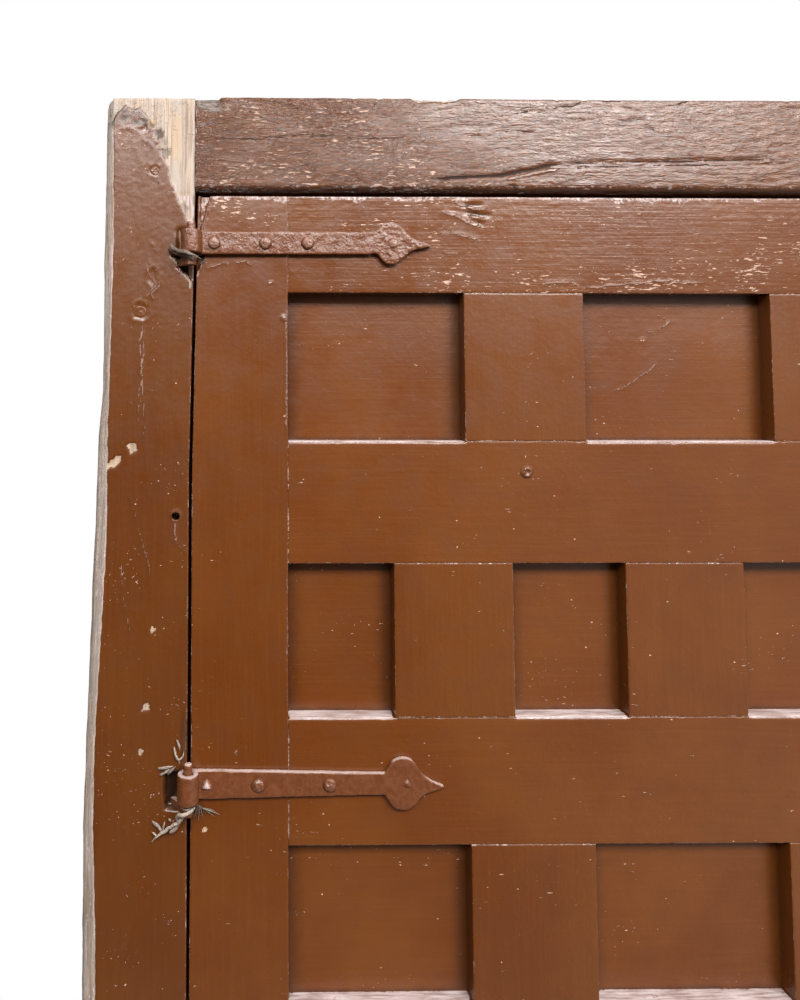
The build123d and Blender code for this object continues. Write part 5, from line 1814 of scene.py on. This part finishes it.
@dataclass
class Ironwork:
    """Straps, nails, pintles, bolt, pegs and the frayed packing."""

    finishes: Finishes

    STRAP_T = 6.0
    SPADE_NAILS = ((22.8, Head.DOME), (73.8, Head.DOME), (116.3, Head.DOME), (202.0, Head.DOME))
    DISC_NAILS = ((17.7, Head.ROSE), (67.2, Head.DOME), (136.2, Head.DOME), (211.0, Head.ROSE))
    RING_DROP = 2.7
    RING_TURNS = 14
    BRISTLES = 15
    STRANDS = (
        (((-513, -33.5, 1949), (-509, -37, 1943.5), (-502, -44, 1940), (-494.5, -52.5, 1937.5),
          (-487, -52, 1934.5), (-479.7, -42, 1932)), 2.2, 0.6, 0.3),
        (((-514, -32, 1944), (-508, -36, 1939.5), (-500, -44, 1936), (-491, -51.5, 1933),
          (-484, -48, 1930.5)), 2, 0.6, 0),
        (((-484, -45, 1406.2), (-489, -51.5, 1405.2), (-494.5, -52.5, 1404), (-499.6, -48, 1401.5),
          (-501.8, -43, 1396.5), (-499.5, -41, 1391), (-495, -44.5, 1396.5), (-493.5, -48, 1401)), 1.9, 0.8, 0.9),
        (((-495.5, -45, 1399), (-499, -42, 1391.5), (-506.9, -38, 1385.7), (-514, -36, 1380),
          (-521, -35, 1374.5), (-527, -33, 1368.5)), 1.8, 0.7, 1),
        (((-516, -34, 1379), (-521, -33.5, 1384.5), (-526.5, -32.5, 1388.5)), 1.6, 0.35, 0.6),
        (((-515, -34, 1379.5), (-514.5, -33.5, 1384.5), (-513.5, -32.5, 1388)), 1.2, 0.35, 0.5),
        (((-509, -35, 1378), (-504.5, -34, 1381), (-499.5, -33, 1384.5)), 1.9, 0.35, 0.5),
        (((-521, -34.5, 1374.5), (-524.5, -33.5, 1377), (-526.5, -32, 1377.5)), 1, 0.5, 0.9),
        (((-507.5, -35, 1389), (-510, -34.5, 1391.5)), 0.9, 0.6, 0.9),
        (((-520.8, -31.5, 1436), (-513, -34, 1438.5), (-505.5, -34, 1440)), 1.5, 0.5, 0.7),
        (((-519, -31.5, 1430), (-513, -34, 1434), (-508, -34, 1437.5)), 1.2, 0.5, 0.6),
        (((-512, -31.5, 1431), (-508, -34, 1435), (-503.5, -33.5, 1439)), 1.2, 0.5, 0.5),
        (((-505, -31.5, 1457), (-504, -33, 1450), (-500.5, -33.5, 1444.5), (-496.5, -32.5, 1447.5),
          (-496, -31.5, 1453)), 1.1, 0.5, 0.75),
        (((-503, -31.5, 1463.5), (-500.5, -33, 1459), (-499, -32.5, 1453.5)), 1.2, 0.5, 0.6),
        (((-500.5, -32, 1446), (-500, -33, 1441)), 0.9, 0.5, 0.6),
    )

    def nails(self, index: int) -> None:
        """The nails of one strap.

        Args:
            index: the strap, counted from 0 at the top.
        """
        s = SIZES
        z, spade = s.eyes[index].z, s.eyes[index].spade
        piece = Piece(f"strap_{index + 1}_nail_heads", "leaf", [f"strap_nails_{index + 1}"], Slot.IRON,
                      self.finishes.iron)
        for place, (reach, kind) in enumerate(self.SPADE_NAILS if spade else self.DISC_NAILS):
            finial = place == 3
            radius = 5.0 if finial else 6.6
            sides = 3 if kind is Head.ROSE else 4
            high = 2.2 if finial else 4.4
            button = Button(s.axis_x + reach, z, s.front - self.STRAP_T + 0.4, radius, high, kind,
                            500 + 10 * index + place, sides=sides, turn=90.0, tilt=0.5,
                            pale=1.0 if kind is Head.ROSE and not finial else 0.7 if spade else 0.5)
            piece.add(button)
        piece.build()

    def tenon_nail(self) -> None:
        """The lump of paint over the nail through a muntin's tenon."""
        piece = Piece("tenon_nail_head", "leaf", ["tenon_nail"], Slot.IRON, self.finishes.iron)
        piece.add(Button(-156.0, 1721.8, SIZES.front + 0.4, 6.8, 2.8, Head.LUMP, 561, pale=0.35))
        piece.build()

    def pegs(self) -> None:
        """Ends of the pegs and the plug."""
        s = SIZES
        piece = Piece("frame_peg_ends", "frame", ["frame_pegs"], Slot.TIMBER, self.finishes.post)
        for x in (-529.0, 529.0):
            piece.add(Button(x, 2024.5, s.front + 0.6, 5.0, 1.0, Head.FLAT, 571, pale=0.1))
            piece.add(Button(x, 2024.5, s.back - 1.4, 5.0, 1.0, Head.FLAT, 572, 1.0, pale=0.1))
        piece.build()
        piece = Piece("post_plug", "frame", ["jamb_plug"], Slot.TIMBER, self.finishes.post)
        piece.add(Button(-542.5, 1881.0, s.front + 1.2, 6.6, 1.2, Head.FLAT, 573, pale=0.15))
        piece.build()
        piece = Piece("leaf_peg_ends", "leaf", ["leaf_pegs"], Slot.TIMBER, self.finishes.upright)
        for index, (low, high) in enumerate(s.rails):
            for place, x in enumerate((s.inner_left - 30.0, s.inner_right + 30.0)):
                piece.add(Button(x, (low + high) / 2 + 20.0, s.leaf_back - 0.8, 4.5, 1.4, Head.FLAT,
                                  580 + 2 * index + place, 1.0, pale=0.1))
        piece.build()

    def packing(self) -> None:
        """Rings of packing under the eyes, frayed at the second hinge, and a splinter at the first."""
        s = SIZES
        piece = Piece("frayed_packing", "frame", ["eye_packing"], Slot.PACKING, self.finishes.fibre)
        y = s.axis_y
        for index, eye in enumerate(s.eyes):
            foot = eye.foot - self.RING_DROP
            turns = []
            for k in range(self.RING_TURNS + 1):
                a = 2 * math.pi * k / self.RING_TURNS
                reach = 6.9 + 0.5 * math.sin(3 * a + index)
                turns.append((s.axis_x + reach * math.cos(a), y + reach * math.sin(a), foot + 0.4 * math.sin(5 * a)))
            piece.add(Strand(tuple(turns), 1.5, 0.8, 600 + index, 0.25))
        for k, (path, thick, flat, pale) in enumerate(self.STRANDS):
            piece.add(Strand(path, thick, flat, 620 + k, pale))
        for k in range(self.BRISTLES):
            lean = -0.9 + 2.1 * k / (self.BRISTLES - 1) + 0.25 * math.sin(7.0 * k)
            reach = 12.0 + 8.0 * math.sin(2.3 * k + 1.0) ** 2
            x, z = -483.5 + 0.5 * k, 1407.0 - 0.35 * k
            path = ((x, -37.5, z), (x + 0.45 * reach * math.sin(lean), -33.5, z - 0.5 * reach * math.cos(lean)),
                    (x + reach * math.sin(lean), -31.0, z - reach * math.cos(lean)))
            piece.add(Strand(path, 0.42, 1.0, 660 + k, 0.25 + 0.2 * (k % 3)))
        piece.build()

    def build(self) -> None:
        """Build all the ironwork."""
        for index, eye in enumerate(SIZES.eyes):
            seen, spade = eye.z > SIZES.window_foot, eye.spade
            Forging(f"strap_hinge_{index + 1}", "leaf", 401 + index, 1.0 if seen else 2.0, 0.5 if spade else 0.3,
                    silver=0.16 if spade else 0.1, tip=-312.0 if spade else 1e4).build(self.finishes.iron)
            Forging(f"pintle_{index + 1}", "frame", 411 + index, 0.8 if seen else 1.4, 0.25, 6,
                    0.4 if spade else 0.1).build(self.finishes.iron)
            self.nails(index)
        Forging("bolt_bar", "bolt", 421, 1.4, 0.25, 4).build(self.finishes.iron)
        Forging("bolt_staples", "leaf", 422, 0.9, 0.12, 2).build(self.finishes.iron)
        Forging("bolt_keeper", "frame", 423, 0.9, 0.12, 2).build(self.finishes.iron)
        self.tenon_nail()
        self.pegs()
        self.packing()


@dataclass
class Studio:
    """Floor, light and camera."""

    finishes: Finishes
    floor_radius: float = 1.5
    floor_forward: float = -0.35
    eye: Place = (-0.4405, -0.7804, 1.8007)
    pitch: float = 0.056
    yaw: float = -0.0111
    roll: float = -0.0015
    lens: float = 27.0
    shift: Point = (0.15, -0.15)

    def floor(self) -> None:
        """Round pale floor under the door."""
        work = bmesh.new()
        bmesh.ops.create_circle(work, cap_ends=True, segments=96, radius=self.floor_radius,
                                matrix=Matrix.Translation((0.0, self.floor_forward, -0.0005)))
        mesh = mesh_from(work, "floor")
        mesh.materials.append(self.finishes.floor)
        obj = place_in_scene("floor", mesh)

    def lamp(self, name: str, place: Sequence[float], target: Sequence[float], size: Point, watts: float,
             colour: Sequence[float]) -> None:
        """A large soft lamp.

        Args:
            name: its name.
            place: where it hangs, in metres.
            target: what it points at.
            size: its width and height.
            watts: its power.
            colour: its colour.
        """
        data = bpy.data.lights.new(name, "AREA")
        data.shape = "RECTANGLE"
        data.size, data.size_y = size
        data.energy = watts
        data.color = colour
        obj = place_in_scene(name, data)
        obj.location = place
        obj.rotation_euler = (Vector(target) - Vector(place)).to_track_quat("-Z", "Y").to_euler()

    def sky(self) -> None:
        """Soft light from all round, stronger above; white where the camera looks past the door."""
        world = bpy.data.worlds.new("studio")
        bpy.context.scene.world = world
        world.use_nodes = True
        tree = world.node_tree
        tree.nodes.clear()
        out = tree.nodes.new("ShaderNodeOutputWorld")
        coords = tree.nodes.new("ShaderNodeTexCoord")
        split = tree.nodes.new("ShaderNodeSeparateXYZ")
        link = tree.links.new
        link(coords.outputs["Generated"], split.inputs[0])

        def band(axis: str, low: float, high: float, start: float, end: float) -> Socket:
            """Brightness that changes along one axis of the sky."""
            node = tree.nodes.new("ShaderNodeMapRange")
            node.interpolation_type = "SMOOTHSTEP"
            for key, number in zip(("From Min", "From Max", "To Min", "To Max"), (low, high, start, end)):
                node.inputs[key].default_value = number
            link(split.outputs[axis], node.inputs["Value"])
            return node.outputs["Result"]

        def joined(kind: str, a: Socket, b: Socket) -> Socket:
            """Two brightnesses added or multiplied."""
            node = tree.nodes.new("ShaderNodeMath")
            node.operation = kind
            link(a, node.inputs[0])
            link(b, node.inputs[1])
            return node.outputs[0]

        beside = joined("MULTIPLY", band("X", 0.12, 0.55, 0.0, 2.0), band("Z", 0.12, 0.34, 0.3, 1.0))
        beside = joined("MULTIPLY", beside, band("Y", 0.0, -0.3, 0.0, 1.0))
        soft = tree.nodes.new("ShaderNodeBackground")
        soft.inputs["Color"].default_value = (1.0, 0.92, 0.86, 1.0)
        link(joined("ADD", beside, band("Z", 0.15, 0.9, 0.05, 0.8)), soft.inputs["Strength"])
        white = tree.nodes.new("ShaderNodeBackground")
        white.inputs["Color"].default_value = (1.0, 1.0, 1.0, 1.0)
        path = tree.nodes.new("ShaderNodeLightPath")
        blend = tree.nodes.new("ShaderNodeMixShader")
        link(path.outputs["Is Camera Ray"], blend.inputs[0])
        link(soft.outputs[0], blend.inputs[1])
        link(white.outputs[0], blend.inputs[2])
        link(blend.outputs[0], out.inputs["Surface"])

    def camera(self) -> None:
        """Camera where the photographer stood."""
        data = bpy.data.cameras.new("camera")
        data.lens = self.lens
        data.sensor_width = 36.0
        data.shift_x, data.shift_y = self.shift
        data.clip_start, data.clip_end = 0.05, 50.0
        turn = (Matrix.Rotation(self.yaw, 3, "Z") @ Matrix.Rotation(self.pitch, 3, "X")
                @ Matrix.Rotation(self.roll, 3, "Y"))
        upright = Matrix(((1, 0, 0), (0, 0, -1), (0, 1, 0)))
        obj = place_in_scene("camera", data)
        obj.matrix_world = Matrix.Translation(self.eye) @ (turn @ upright).to_4x4()
        bpy.context.scene.camera = obj

    def build(self) -> None:
        """Set up the stage."""
        self.floor()
        self.lamp("key", (-0.1, -2.45, 3.5), (-0.1, 0.0, 1.8), (3.0, 0.8), 175.0, (1.0, 0.965, 0.94))
        self.lamp("side", (1.5, -2.4, 3.3), (0.0, 0.0, 2.0), (1.3, 0.8), 42.0, (1.0, 0.93, 0.90))
        self.lamp("fill", (-2.3, -1.5, 2.3), (-0.4, 0.0, 1.5), (1.4, 1.4), 9.0, (1.0, 0.97, 0.95))
        self.lamp("rear", (0.8, 2.8, 3.2), (0.0, 0.0, 1.0), (2.4, 2.0), 120.0, (1.0, 0.98, 0.96))
        self.sky()
        self.camera()
        bpy.context.scene.view_settings.view_transform = "Standard"


def main() -> None:
    """Build the door piece by piece."""
    logging.basicConfig(level=logging.INFO, format="%(name)s %(message)s")
    finishes = Finishes()
    FrameTimbers(finishes).build()
    LeafTimbers(finishes).build()
    Ironwork(finishes).build()
    Studio(finishes).build()
    LOG.info("done")


if __name__ == "__main__":
    main()
